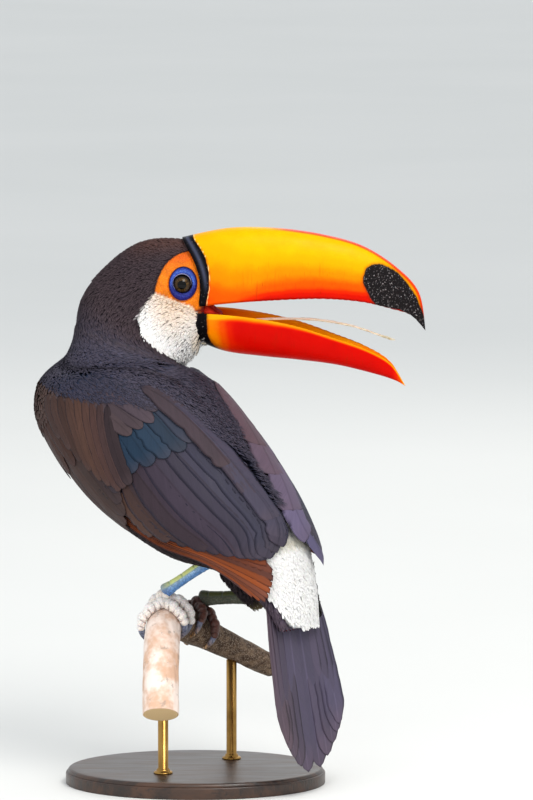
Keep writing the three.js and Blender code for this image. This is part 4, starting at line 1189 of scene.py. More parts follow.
def feathered(name, tip, tip_share=0.35, tip_from=0.55, count=60.0, contrast=0.6, shaft=0.0, deep=0.05,
              **plain):
    """A plumage material on the piece's own coat colours, with barbs, a paler or darker tip and a shaft."""
    made, tree, shader = new_material(name, **plain)
    values = {"Colour": read(tree, "coat", "Color"), "Tip": tint(tip), "Tip share": tip_share,
              "Tip from": tip_from, "Barbs": count, "Contrast": contrast, "Shaft": shaft}
    vane = node(tree, "Group", values, node_tree=barbs).outputs
    dress(tree, shader, vane["Colour"], vane["Roughness"], vane["Height"], deep)
    return made


def coat_patch(u_span, v_span, gap, length, width, proud, keep, seed, lean=0.0, colour=None, waver=0.12,
               surface=body_point, ridge=1.0):
    """Tufts over part of the body: where keep allows, in the markings' colours or in colour(at, angle)."""
    at, angle, rng = scatter(surface, u_span, v_span, gap, keep, seed)
    size, breadth, high, tilt = (x(at, angle) if callable(x) else x for x in (length, width, proud, lean))
    deep = 0.15 - skin_height(at, angle)
    if surface is cloak_point:
        deep = deep + wing_height(at, angle, GROOVE)
    points, share, lie = tuft_arrays(surface, at, angle, rng, size, breadth, deep, high, tilt, waver, ridge)
    shade = (colour or markings)(at + 0.25 * size / STATION_GAP, angle)
    shade = shade * rng.uniform(0.86, 1.16, (len(at), 1)) * (1 + rng.normal(0, 0.02, (len(at), 3)))
    return points, share, lie, np.stack([at, np.angle(np.exp(1j * angle))], -1), np.clip(shade, 0.0, 1.0)


def under_ring(at, angle):
    """1 where the outline lies under an eye's ring."""
    place = body_point(at, angle, 0.0) - BILL_ROOT
    off = (place[..., 0] - EYE_FORWARD - 0.8) ** 2 / 11.6**2 + (place[..., 2] - EYE_UP + 0.8) ** 2 / 13.8**2
    return (off < 1) & (np.abs(place[..., 1]) > 8)


def feathers_grow(at, angle):
    """1 where feathers grow, away from the bare face and the eyes' rings."""
    return (1 - steps(bare_face(at, angle), 0.2, 0.75)) * ~under_ring(at, angle)


def white(at, angle):
    """1 inside the white bib."""
    return steps(bib_depth(at, angle), -1.0, 1.0)


def wing_share(at, angle):
    """Share of the way across the folded wing, under 0 over 1 outside it, at a place of the body."""
    return np.where(wing_part(at) < -0.01, -1.0, wing_across(at, round_angle(angle)))


def free_of_wing(at, angle):
    """1 where the folded wing leaves the body's side open."""
    share = wing_share(at, angle)
    return 1 - steps(share, 0.0, 0.1) * steps(share, 1.0, 0.9) * steps(at, 5.0, 5.2)


# How far down the folded wing the mantle's soft feathers hang over it, as a share of its width.
CAPE = np.array([
    [-0.02, 0.75], [0.03, 0.52], [0.1, 0.42], [0.16, 0.38], [0.24, 0.34], [0.32, 0.25], [0.38, 0.18],
    [0.43, 0.13], [0.47, 0.08], [0.52, 0.03], [0.56, 0.0]])


def cape(at, angle):
    """1 where the soft feathers of nape and mantle lie over the back and the wings' inner parts."""
    part = wing_part(at)
    hang = np.interp(part, CAPE[:, 0], CAPE[:, 1])
    share = wing_share(at, angle)
    return np.where(share < 0.5, steps(share, hang + 0.02, hang - 0.02) * (round_angle(angle) < 108),
                    part < 0.02)


def cape_colour(at, angle):
    """Slate on the lower neck, with brown towards the shoulders' front and a painted blue-black sheen lower
    down.
    """
    size = round_angle(angle)
    # Painted sheen: a blue-black painted reflection on the mantle's dark feathers.
    gloss = steps(size, 26, 46) * steps(at, 5.2, 5.7) * steps(at, 7.3, 6.6)
    return layered((np.ones(at.shape), "#3a3135"), (steps(at, 3.0, 4.4), "#36394c"), (gloss, "#17263e"))


ALL_ROUND = (-np.pi, np.pi)
dark_feather = feathered("dark_plumage", "#54474a", 0.4, 0.45, 40.0, 0.7, Specular_IOR_Level=0.12)


def face_size(at, angle):
    """A dark feather's length, short round the face and longer down the neck."""
    return 3.2 + 2.4 * steps(at, 0.8, 2.6) + 3.0 * steps(at, 2.6, 4.0)


def dark_part(at, angle):
    """1 where dark feathers grow on head and neck."""
    return feathers_grow(at, angle) * (1 - white(at, angle))


crown = coat_patch((0.12, 2.3), ALL_ROUND, 1.05, face_size, 1.1,
                   lambda at, angle: 0.3 + 0.6 * steps(round_angle(angle), 50, 20) * steps(at, 0.3, 0.8),
                   dark_part, 101)
nape = coat_patch((2.3, 4.0), ALL_ROUND, 1.2, face_size, 1.2, 0.6, dark_part, 103, ridge=0.5)
plumes("head_plumage", [crown, nape], dark_feather, "body_plumage", soft=0.55)
silky = feathered("white_plumage", "#fffdf9", 0.3, 0.2, 24.0, 0.06, Specular_IOR_Level=0.1,
                  Subsurface_Weight=0.3, Subsurface_Radius=(1, 1, 1), Subsurface_Scale=0.003)


def throat(at, angle):
    """1 under the lower bill's root, where the bib is fluffed out."""
    return steps(round_angle(angle), 125, 155) * steps(at, 2.6, 0.7)


def inner_bib(at, angle):
    """The length of a bib feather over its full length: short ones grow along the dark plumage's edge."""
    return 0.4 + 0.6 * steps(bib_depth(at, angle), 2, 16)


def bib_length(at, angle):
    """Length of the bib's tufts: short at the face, and longest on throat and breast."""
    return (5.0 + 7.0 * steps(at, 0.9, 2.8)) * inner_bib(at, angle) + 4 * throat(at, angle)


def bib_proud(at, angle):
    """Height of the tips of the bib's tufts, which is greatest where the throat is fluffed out."""
    return 0.2 + 0.3 * steps(at, 2.0, 3.0) + (4.6 + 2 * steps(at, 0.6, 0.2)) * throat(at, angle)


def bib_grows(at, angle):
    """1 where the bib's tufts are rooted, in front of the place where their tips show."""
    rooted = white(at + 0.36 * steps(at, 0.9, 2.8) * (at < 3.6), angle)
    return feathers_grow(at, angle) * rooted * (at < 6.0)


bib = coat_patch((0.04, 6.5), ALL_ROUND, 1.15, bib_length, lambda at, angle: 0.6 + inner_bib(at, angle),
                 bib_proud, bib_grows, 105, waver=0.06, ridge=0.3,
                 lean=lambda at, angle: -0.22 * np.sign(np.sin(angle)) * steps(at, 2.6, 0.8))
# White fluff under the chin points forwards over the lower bill's root.
chin = coat_patch((0.03, 0.5), ALL_ROUND, 1.1, -9.5, 1.4, 5.2,
                  lambda at, angle: round_angle(angle) > 154, 117, waver=0.3, ridge=0.3)
plumes("bib_plumage", [bib, chin], silky, "body_plumage", soft=0.75)
# Slate feathers close the fold between the neck and the mantle.
collar = coat_patch((3.5, 5.0), (-2.2, 2.2), 1.25, 9.0, 1.4, 1.5, dark_part, 106,
                    colour=cape_colour, ridge=0.5)
plumes("collar_plumage", [collar], dark_feather, "body_plumage", soft=0.75)
mantle = coat_patch((3.8, 8.5), (-1.95, 1.95), 1.2, lambda at, angle: 7.0 + 4.0 * steps(at, 4.8, 6.2), 1.4,
                    lambda at, angle: 0.7 + 0.7 * steps(at, 5.0, 5.8),
                    lambda at, angle: (1 - white(at, angle)) * cape(at, angle), 107,
                    colour=cape_colour, surface=cloak_point, ridge=0.5)
plumes("mantle_plumage", [mantle], dark_feather, "body_plumage", soft=0.75)


def belly_proud(at, angle):
    """Height of the tips of the belly's tufts, which is greatest between the thighs."""
    return 0.8 + 1.8 * steps(at, 6.0, 7.0) * steps(at, 8.8, 8.2) * steps(round_angle(angle), 118, 135)


def belly_grows(at, angle):
    """1 on the belly, behind the bib and below the wings."""
    return (1 - white(at, angle) * (at < 5.95)) * free_of_wing(at, angle) * (round_angle(angle) > 104)


def flank_grows(at, angle):
    """1 beside the rump on the bird's left."""
    return (rump_depth(at, angle) < 3) & (round_angle(angle) < 128) & (np.sin(angle) < 0)


def rump_grows(at, angle):
    """1 where the rump's white tufts are rooted."""
    tip_depth = rump_depth(at + 0.3 * (np.sin(angle) < 0), angle)
    return (tip_depth > 0) & ((at > 9.2) | (round_angle(angle) < 100))


def vent_grows(at, angle):
    """1 on the vent, below rump and flank."""
    edge = 106 + 30 * (at > 9.8) + 34 * on_right(angle)
    return (rump_depth(at, angle) < 3) & (round_angle(angle) > edge)


belly = coat_patch((3.9, 9.35), (np.pi / 2, 1.5 * np.pi), 2.0,
                   lambda at, angle: 11.0 + 5.0 * steps(at, 5.0, 6.5), 2.1, belly_proud, belly_grows, 109)
flank = coat_patch((9.9, 10.7), ALL_ROUND, 1.5, 8.0, 2.0, 0.4, flank_grows, 119, waver=0.05, ridge=0.2)
plumes("belly_plumage", [belly], dark_feather, "body_plumage")
plumes("flank_plumage", [flank], dark_feather, "body_plumage", soft=0.85)
rump = coat_patch((8.6, 10.7), ALL_ROUND, 1.3, 10.0, 2.6, 0.9, rump_grows, 111, waver=0.05, ridge=0.25)
plumes("rump_plumage", [rump], silky, "body_plumage", soft=0.8)
vent_feather = feathered("vent_plumage", "#a01c14", 0.2, 0.4, 30.0, 0.4, Specular_IOR_Level=0.2)
vent = coat_patch((9.2, 10.7), ALL_ROUND, 1.4, 9.0, 2.2, 0.5, vent_grows, 115, waver=0.05, ridge=0.4)
plumes("vent_plumage", [vent], vent_feather, "body_plumage", soft=0.5)
thigh_groups = []
for number, side in enumerate(THIGHS):
    shell = thigh_point(side)
    part, turn, rng = scatter(shell, (0.0, 0.85), (0, 2 * np.pi), 1.5, lambda u, v: np.ones(u.shape),
                              121 + number)
    proud = 0.5 + 0.6 * part + 2.0 * number * steps(part, 0.0, 0.3)
    points, share, lie = tuft_arrays(shell, part, turn, rng, -(3.5 + 7.0 * part), 1.5,
                                     2.6 * steps(part, -0.1, 0.2), proud, 0.0, 0.16)
    bristly = steps(part, 0.2, 0.02)[:, None] * number
    shade = rgb("#17161a") * (1 - bristly) + rgb("#5a5032") * bristly
    shade = shade * rng.uniform(0.6, 1.4, (len(part), 1))
    thigh_groups.append((points, share, lie, np.stack([part + number, turn], -1), shade))
plumes("thigh_plumage", thigh_groups, dark_feather, "body_plumage")

# ---- Wings ----
# Folded wings of stiff vanes that lie on each other like slates: small rounded coverts at the shoulder,
# two rows of larger coverts, broad inner quills over the back, and long brown outer quills along the edge.
VANE_RINGS = 18
VANE_TOP = np.array([-1.0, -0.72, -0.42, -0.12, 0.0, 0.12, 0.42, 0.72, 1.0])
VANE_UNDER = np.array([0.6, 0.0, -0.6])


def vane_profile(thick, arch, tilt, shaft, keel=0.16):
    """Section of a vane in half-widths and millimetres: an arch with a raised shaft, and an underside."""
    x = np.concatenate([VANE_TOP, VANE_UNDER])
    place = x + shaft * (1 - np.abs(x))
    z = arch * (1 - place**2) + tilt * place
    z = z + keel * np.exp(-((x / 0.09) ** 2)) * (np.arange(len(x)) < len(VANE_TOP))
    z = z - thick * (np.arange(len(x)) >= len(VANE_TOP))
    return np.stack([place, z], -1), x


def vane_set(surface, start, end, half, seed, bend=0.0, thick=0.3, arch=0.5, tilt=0.5, shaft=0.0,
             lift=(0.0, 0.0), root=0.45, tip=0.3, point=2.0, ragged=0.05, late=1.0):
    """Vanes whose shafts run from start to end on a surface, as points, and each point's place on its vane.

    half: greatest half-width. root: share of it at the root. tip: share of the length that the rounded or
    pointed end takes up. lift: height at the root and at the tip. late: power of the way along at which a
    shaft leaves its start's line for its end's. Edges are notched here and there.
    """
    rng = np.random.default_rng(seed)
    start, end, half, bend = (np.asarray(x, float) for x in (start, end, half, bend))
    count = len(start)
    t = 1 - (1 - np.linspace(0, 1, VANE_RINGS + 2)) ** 1.35
    bow = (np.zeros(count) + bend)[:, None] * 4 * t * (1 - t)
    u = start[:, :1] + (end[:, :1] - start[:, :1]) * t
    v = start[:, 1:] + (end[:, 1:] - start[:, 1:]) * t**late + bow
    closing = np.clip((t - 1 + tip) / tip, 0, 1)
    shape = (root + (1 - root) * steps(t, 0.0, 0.35)) * (1 - closing**point) ** (1 / point)
    width = (np.zeros(count) + half)[:, None] * shape
    notch = rng.normal(0, ragged, (count, len(t))) * steps(t, 0.3, 0.6)
    notch = notch - 0.16 * (rng.random((count, len(t))) < 0.09) * steps(t, 0.35, 0.5) * (ragged > 0)
    width = width * (1 + notch)
    low, high = (np.zeros(count) + x for x in lift)
    out = low[:, None] + (high - low)[:, None] * t + rng.normal(0, 0.05, (count, 1))
    profile, x = vane_profile(thick, arch, tilt, shaft)
    points, _ = laid(surface, u, v, out, width, profile)
    across = np.concatenate([np.tile(x, VANE_RINGS), [0, 0]])
    along = np.concatenate([np.repeat(t[1:-1], len(x)), [0.0, 1.0]])
    return points, across, along


def quills(name, groups, material, slot, *nodes):
    """Joins sets of vanes to one piece. Each group: a vane_set, and its vanes' colours, one row for each."""
    points = np.concatenate([group[0][0] for group in groups])
    count = len(points)
    across, along = groups[0][0][1:]
    colours = np.concatenate([group[1] for group in groups])
    luck = np.random.default_rng(count + 5).random(count)
    cells = int(np.ceil(np.sqrt(count)))
    cell = np.stack([np.arange(count) % cells, np.arange(count) // cells], -1)[:, None]
    places = (cell + 0.06 + 0.88 * np.stack([across * 0.5 + 0.5, along], -1)[None]) / cells
    if colours.ndim == 2:
        colours = np.repeat(colours[:, None], len(along), 1)
    vane = np.stack(np.broadcast_arrays(across[None], along[None], luck[:, None]), -1)
    sides = len(VANE_TOP) + len(VANE_UNDER)
    piece = put(name, points, closed_faces(VANE_RINGS, sides, count), places, coat=with_alpha(colours),
                vane=vane)
    finish_piece(piece, slot, *nodes, skin=material)


def shades(codes, share, seed, spread_by):
    """Colours between the colour codes by share, each a little lighter or darker than the next."""
    rng = np.random.default_rng(seed)
    table = np.array([rgb(code) for code in codes])
    share = np.asarray(share, float) * (len(codes) - 1)
    colour = np.stack([np.interp(share, np.arange(len(codes)), table[:, k]) for k in range(3)], -1)
    return colour * rng.uniform(1 - spread_by, 1 + spread_by, (len(share), 1))


def on_wing(side, layer):
    """The folded wing's surface at a share of its thickness, with part and share as its two directions."""
    return lambda part, share, out=0.0: wing_point(side, part, share, layer, out)


def row_of(count, *columns):
    """Evenly spaced rows between the given columns' stops: each column is a list of stops."""
    share = np.linspace(0, 1, count)
    return np.stack([np.interp(share, np.linspace(0, 1, len(stops)), stops) for stops in columns], -1)


def outer_surface(side):
    """The outer quills' surface under the folded wing, by the station and the angle from the midline."""
    def point(at, size, out=0.0):
        _, lift, thick = wing_form(wing_part(at), wing_across(at, size))
        return body_point(at, side * np.radians(size), lift + 0.5 * thick + out)

    return point


def shoulder_colour(at, angle):
    """Small coverts: brown to the front, with a painted blue-black sheen above and a painted shadow in a gap
    near the wrist.
    """
    part = wing_part(at)
    share = wing_share(at, angle)
    # Painted sheen: the upper coverts' blue-black.
    gloss = steps(share, 0.44, 0.36) * steps(part, 0.1, 0.2)
    # Painted shadow: a near-black oval where the coverts part near the wrist.
    gap = np.exp(-(((part - 0.25) / 0.035) ** 2) - ((share - 0.57) / 0.06) ** 2)
    return layered((np.ones(at.shape), "#43342f"), (steps(part, 0.02, 0.16) * 0.5, "#4b3833"),
                   (gloss, "#1b2a40"),
                   (0.9 * gap, "#120e0e"))


quill_vane = feathered("quill_vanes", "#5f4c4c", 0.15, 0.92, 120.0, 0.4, 0.6, 0.04, Specular_IOR_Level=0.12,
                       Sheen_Weight=0.04, Sheen_Roughness=0.5, Sheen_Tint=tint("#8f9fe0"))
covert_vane = feathered("covert_vanes", "#57494c", 0.2, 0.9, 60.0, 0.4, 0.5, 0.04, Specular_IOR_Level=0.1,
                        Sheen_Weight=0.02, Sheen_Roughness=0.5, Sheen_Tint=tint("#8f9fe0"))
small_covert = feathered("small_coverts", "#5a4b4a", 0.35, 0.6, 30.0, 0.5, 0.4, 0.05, Specular_IOR_Level=0.12)
OUTER_ENDS = np.array([
    [9.44, 42], [9.6, 40], [9.72, 43], [9.84, 48], [9.95, 54], [10.05, 60], [10.12, 66], [10.1, 74],
    [9.98, 84], [9.75, 93]])
BACK_ORDER = np.arange(5)
# Where the left wing and the right one differ: how far the outer quills end from OUTER_ENDS, the share at
# which the inner and the back quills start, where the back quills end as parts, shares and half-widths,
# their shape and colours, and the angles between which the small coverts lie.
WING_SIDES = {
    "left": {
        "side": -1, "outer_shift": [0.0, 0.0], "inner_from": 0.03, "back_from": 0.12, "span": (-2.5, -0.5),
        "back_ends": ([0.60, 0.70, 0.79, 0.85, 0.87], [0.14, 0.11, 0.10, 0.08, 0.06], [12, 12, 12, 11, 10]),
        "back_shape": {"tilt": 0.1, "arch": 0.25, "ragged": 0.01, "late": 1.0, "lift": (1.6, 1.6)},
        "back_codes": ["#44393f", "#403c4a", "#413d4c"],
    },
    "right": {
        "side": 1, "outer_shift": [-0.85, 8.0], "inner_from": 0.12, "back_from": 0.22, "span": (0.5, 2.5),
        "back_ends": ([0.56, 0.65, 0.77, 0.86, 0.94], [0.12, 0.09, 0.07, 0.05, 0.06],
                      [14, 15.5, 15.5, 14.5, 11]),
        "back_shape": {"tilt": -0.35, "arch": 0.6, "ragged": 0.06, "late": 1.6,
                       "lift": (1.3 - 0.3 * BACK_ORDER, 1.6 - 0.4 * BACK_ORDER)},
        # The right back quills' colours turn bluish towards the last one: a painted reflection.
        "back_codes": ["#5d4a52", "#5b4f62", "#605a78"],
    },
}


def row_of_vanes(codes, colour_seed, spread_by, surface, start, end, half, seed, **shape):
    """A set of vanes with its colours, which go through the colour codes along the row."""
    vanes = vane_set(surface, start, end, half, seed, **shape)
    return vanes, shades(codes, np.linspace(0, 1, len(start)), colour_seed, spread_by)


def small_coverts_grow(at, angle):
    """1 on the folded wing's shoulder, below the mantle's soft feathers."""
    share = wing_share(at, angle)
    hang = np.interp(wing_part(at), CAPE[:, 0], CAPE[:, 1])
    behind = at < 6.0 - 0.22 * steps(share, 0.5, 0.42)
    return (share < 0.99) & (share > 0.02) & (share > hang - 0.04) & behind


for side_name, wing in WING_SIDES.items():
    side, solid = wing["side"], f"wing_{side_name}"
    outer = row_of_vanes(
        ["#7c3c1c", "#4e302a", "#a04e1e", "#57362c", "#924820", "#50332e"], 11, 0.12,
        outer_surface(side), row_of(10, [7.45, 7.1], [97, 121]), OUTER_ENDS + wing["outer_shift"], 8.6, 201,
        tilt=0.35 * side, shaft=-0.3 * side, tip=0.06, point=2.4, arch=0.35, lift=(0.0, 0.3), ragged=0.01,
        late=3.2)
    first = wing["inner_from"]
    inner = row_of_vanes(
        ["#3b3843", "#373644", "#3b3642", "#3e3440", "#3b2f33", "#4d372e"], 12, 0.03,
        on_wing(side, 0.86), row_of(12, [0.34, 0.50], [first + 0.07, 0.66]),
        row_of(12, [0.862, 0.90, 0.90, 0.885, 0.845, 0.79, 0.70, 0.62],
               [first, 0.14, 0.24, 0.39, 0.55, 0.66, 0.71, 0.78]), 10.5, 203,
        bend=0.02, tilt=0.2 * side, shaft=-0.15 * side, tip=0.15, point=2.3, arch=0.15, thick=0.22,
        lift=(0.0, 0.9 - 0.08 * np.arange(12)), ragged=0.006)
    ends, share, half = wing["back_ends"]
    back_start = np.stack([0.30 + 0.04 * BACK_ORDER, wing["back_from"] + 0 * BACK_ORDER], -1)
    back = row_of_vanes(wing["back_codes"], 13, 0.05, on_wing(side, 0.98), back_start,
                        np.stack([ends, share], -1), half, 205, tip=0.12, point=2.8, root=0.4,
                        **wing["back_shape"])
    quills(f"wing_quills_{side_name}", [outer, inner, back], quill_vane, "wing_plumage", solid)
    # The blue-grey and teal in the middle of the greater coverts' colours is a painted blue sheen.
    greater = row_of_vanes(
        ["#3b3944", "#2a3645", "#203244", "#223244", "#3b3134", "#453632", "#43342f"], 14, 0.05,
        on_wing(side, 0.97), row_of(12, [0.25, 0.26, 0.24], [0.05, 0.24, 0.40, 0.55, 0.74]),
        row_of(12, [0.505, 0.525, 0.515, 0.49, 0.50, 0.54, 0.55],
               [0.13, 0.27, 0.42, 0.58, 0.70, 0.80, 0.93]), 9.5, 207,
        tilt=0.15 * side, tip=0.2, point=2.1, arch=0.15, lift=(-0.4, 0.2), ragged=0.006)
    median = row_of_vanes(
        ["#33343f", "#453b42", "#473b3e", "#48362f", "#432f29", "#3f2e28"], 15, 0.08,
        on_wing(side, 1.03), row_of(11, [0.17, 0.20], [0.10, 0.75]),
        row_of(11, [0.38, 0.43, 0.425, 0.40, 0.37, 0.35], [0.15, 0.28, 0.40, 0.56, 0.74, 0.96]), 8.0, 209,
        tilt=0.15 * side, tip=0.36, point=2.1, arch=0.15, lift=(-0.3, 0.2), ragged=0.01)
    lead = row_of_vanes(
        ["#3f2f2b", "#4a3630", "#543c33", "#4a3531", "#33292c"], 16, 0.16,
        on_wing(side, 1.05), row_of(9, [0.16, 0.23, 0.31], [0.46, 0.36, 0.33]),
        row_of(9, [0.30, 0.38, 0.45, 0.50, 0.51], [0.66, 0.68, 0.69, 0.67, 0.60]), 5.2, 213,
        tilt=0.25 * side, tip=0.2, point=2.4, arch=0.3, lift=(-0.2, 0.35), ragged=0.02, bend=0.02)
    quills(f"wing_coverts_{side_name}", [greater, median, lead], covert_vane, "wing_plumage", solid)
    lesser = coat_patch((5.05, 6.75), wing["span"], 2.1,
                        lambda at, angle: 9.0 + 4.0 * steps(at, 5.3, 6.4), 4.6,
                        lambda at, angle: 0.9 + 1.3 * steps(at, 5.8, 6.4), small_coverts_grow, 211 + side,
                        lean=lambda at, angle: 0.25 * np.sign(angle), colour=shoulder_colour,
                        surface=cloak_point, ridge=0.6)
    plumes(f"shoulder_coverts_{side_name}", [lesser], small_covert, "wing_plumage", solid, soft=0.5)

# ---- Tail ----
# Ten long rounded quills in a shallow arched fan. The middle pair lies on top and is the longest. White
# soft coverts lie over its root and red ones under it.
TAIL_ROOT, TAIL_TIP = np.array([74.0, -57, 152]), np.array([93.0, -67, 20])
TAIL_RIGHT = unit(np.array([0.66, 0.73, 0.14]))
TAIL_HALF = np.array([29.0, 31, 33, 34.5, 33])
TAIL_STEP, TAIL_ARCH = 0.27, 4.0
TAIL_UP = unit(np.cross(TAIL_RIGHT, TAIL_TIP - TAIL_ROOT))


def tail_point(part, across, out=0.0):
    """A point of the tail's upper side: part down its length, across from -1 to 1, and a distance out.

    The outer feathers are shorter by a fifth of across squared, and the fan is arched by a parabola.
    """
    part, across, out = np.broadcast_arrays(np.asarray(part, float), across, out)
    half = through(TAIL_HALF, np.clip(part, 0, 1.05) * (len(TAIL_HALF) - 1))
    reach = part * (1 - TAIL_STEP * across**2 * part)
    high = TAIL_ARCH * (1 - across**2) + out
    return (TAIL_ROOT + (TAIL_TIP - TAIL_ROOT) * reach[..., None] + TAIL_RIGHT * (half * across)[..., None]
            + TAIL_UP * high[..., None])


fan = np.array([-0.87, -0.78, -0.64, -0.45, -0.2, 0.2, 0.45, 0.64, 0.78, 0.87])
order = np.abs(fan)
tail_start = np.stack([-0.1 * order, fan * 0.9], -1)
tail_end = np.stack([1.0 - 0.02 * order, fan], -1)
tail_set = vane_set(tail_point, tail_start, tail_end, 14.0 - 7.0 * order, 301, tilt=0.0, arch=0.3, tip=0.16,
                    point=1.7, root=0.6, lift=(0.9 + 3.4 * order**2, 1.4 - 2.6 * order), ragged=0.015)
tail_colour = shades(["#52424a", "#4c4354", "#484358", "#4c4456", "#484358"], (fan + 1) / 2, 21, 0.04)
tail_vane = feathered("tail_vanes", "#6b5358", 0.2, 0.85, 120.0, 0.35, -0.9, 0.04, Specular_IOR_Level=0.3)
quills("tail_quills", [(tail_set, tail_colour)], tail_vane, "tail_plumage", "tail")


def under_tail_point(part, across, out=0.0):
    """A point at a distance out from the tail's underside."""
    return tail_point(part, across, -2.4 - out)


def tail_tufts(surface, span, keep, gap, length, raised, code, seed):
    """Soft coverts at the tail's root. raised: how much higher the tips are at the sides."""
    u, v, rng = scatter(surface, span, (-0.95, 0.95), gap, keep, seed)
    proud = 1.2 + 1.2 * steps(u, 0.15, 0.0) + raised * v**2
    points, share, lie = tuft_arrays(surface, u, v, rng, length, 2.6, 0.2, proud, 0.05 * v, 0.06, 0.35)
    shade = rgb(code) * rng.uniform(0.85, 1.15, (len(u), 1))
    return points, share, lie, np.stack([u, v], -1), np.clip(shade, 0, 1)


over_tail = tail_tufts(tail_point, (-0.14, 0.155), lambda u, v: (v**2 < 0.15) & (u < 0.11) | (v > 0.6),
                       1.5, 13.0, 4.0, "#fdfcfa", 311)
under_tail = tail_tufts(under_tail_point, (-0.14, 0.06), lambda u, v: v**2 < 0.2,
                        2.0, 12.0, 0.0, "#b81c14", 313)
plumes("tail_coverts", [over_tail], silky, "body_plumage", soft=0.8)
plumes("under_tail_coverts", [under_tail], vent_feather, "body_plumage")

# ---- Legs ----
# Bare shanks with a row of broad plates along the top and small round scales below, and feet with two
# toes forwards and two backwards. Every toe is ringed by swollen pads where it presses on the bark.
# Each foot: its place along the branch, the ankle, and the shank's thickness over SHANK_RADIUS.
GRIPS = {"left": (1.95, [15, -32, 176.5], 1.0), "right": (2.95, [48, -5, 143], 1.2)}
SHANK_RADIUS = np.array([5.2, 4.4, 4.2, 4.7, 5.6])
TOE_WAYS = [(-0.34, -88.0), (0.2, -100.0), (-0.24, 78.0), (0.32, 98.0)]
TOE_ROWS, TOE_SIDES, SHANK_ROWS, SHANK_SIDES, BALL_ROWS = 72, 28, 120, 48, 24
PLATE, PAD = 11.5, 4.6


def gripping(at, turn, radius, sides, flat=1.0):
    """A tube that lies round the branch, as rings, its two ends, and each ring point's cosine from the top.

    Its middle is radius above the bark. radius may differ round each ring, and flat is height over width.
    """
    reach = radius.max(-1) if radius.ndim > 1 else radius
    middle = bark_point(at, turn, reach * flat + 0.3)
    outward = unit(bark_point(at, turn, 1.0) - bark_point(at, turn, 0.0))
    along = unit(np.gradient(middle, axis=0))
    beside = unit(np.cross(outward, along))
    outward = np.cross(along, beside)
    around = np.linspace(0, 2 * np.pi, sides, endpoint=False)
    size = radius if radius.ndim > 1 else radius[:, None]
    rings = middle[:, None] + outward[:, None] * (size * flat * np.cos(around))[..., None]
    rings = rings + beside[:, None] * (size * np.sin(around))[..., None]
    return rings, middle[[0, -1]], np.broadcast_to(np.cos(around), rings.shape[:2])


def toe_rings(grip, spread, turn_end, seed):
    """One toe from the foot's ball to its claw, swollen into pads about PAD millimetres long."""
    part = np.linspace(0, 1, TOE_ROWS)
    at, turn = grip + spread * (0.25 + 0.75 * part), np.radians(turn_end) * part
    around = np.linspace(0, 2 * np.pi, TOE_SIDES, endpoint=False)[None]
    gaps = np.linalg.norm(np.diff(bark_point(at, turn, 4.0), axis=0), axis=-1)
    run = np.append(0, np.cumsum(gaps))[:, None]
    lumps = np.abs(np.cos(np.pi * run / PAD + 0.35 * np.sin(around * 2 + seed))) ** 0.7
    lumps = lumps + 0.12 * waves(run * 0.4 + 0 * around, around * 2.2, seed, coarse=1.0, fine=3.0)
    joints = 0.07 * np.cos(2 * np.pi * 3 * part)[:, None]
    taper = (4.35 + (3.3 - 4.35) * part)[:, None] * (1 + joints)
    radius = taper * (0.86 + 0.22 * lumps) * np.sqrt(1 - 0.75 * steps(part, 0.9, 1.0))[:, None]
    rings, ends, top = gripping(at, turn, radius, TOE_SIDES, 0.95)
    return rings, ends, top, lumps


scaly_skin, tree, shader = new_material("leg_scales", Subsurface_Weight=0.1, Subsurface_Scale=0.002,
                                        Coat_Weight=0.12, Coat_Roughness=0.3)
# pebbled paints shade into the creases between the scales.
colour, height, rough = pebbled(tree, object_place(tree), 820.0, read(tree, "coat", "Color"), 0.6)
plate = read(tree, "plate", "Fac")
smooth_plate = times(tree, height, between(tree, plate, 0.2, 0.8, 1.0, 0.15))
even = mixed(tree, between(tree, plate, 0.2, 0.8, 0.0, 0.8), colour, read(tree, "coat", "Color"))
dress(tree, shader, even, rough, smooth_plate, 0.25)
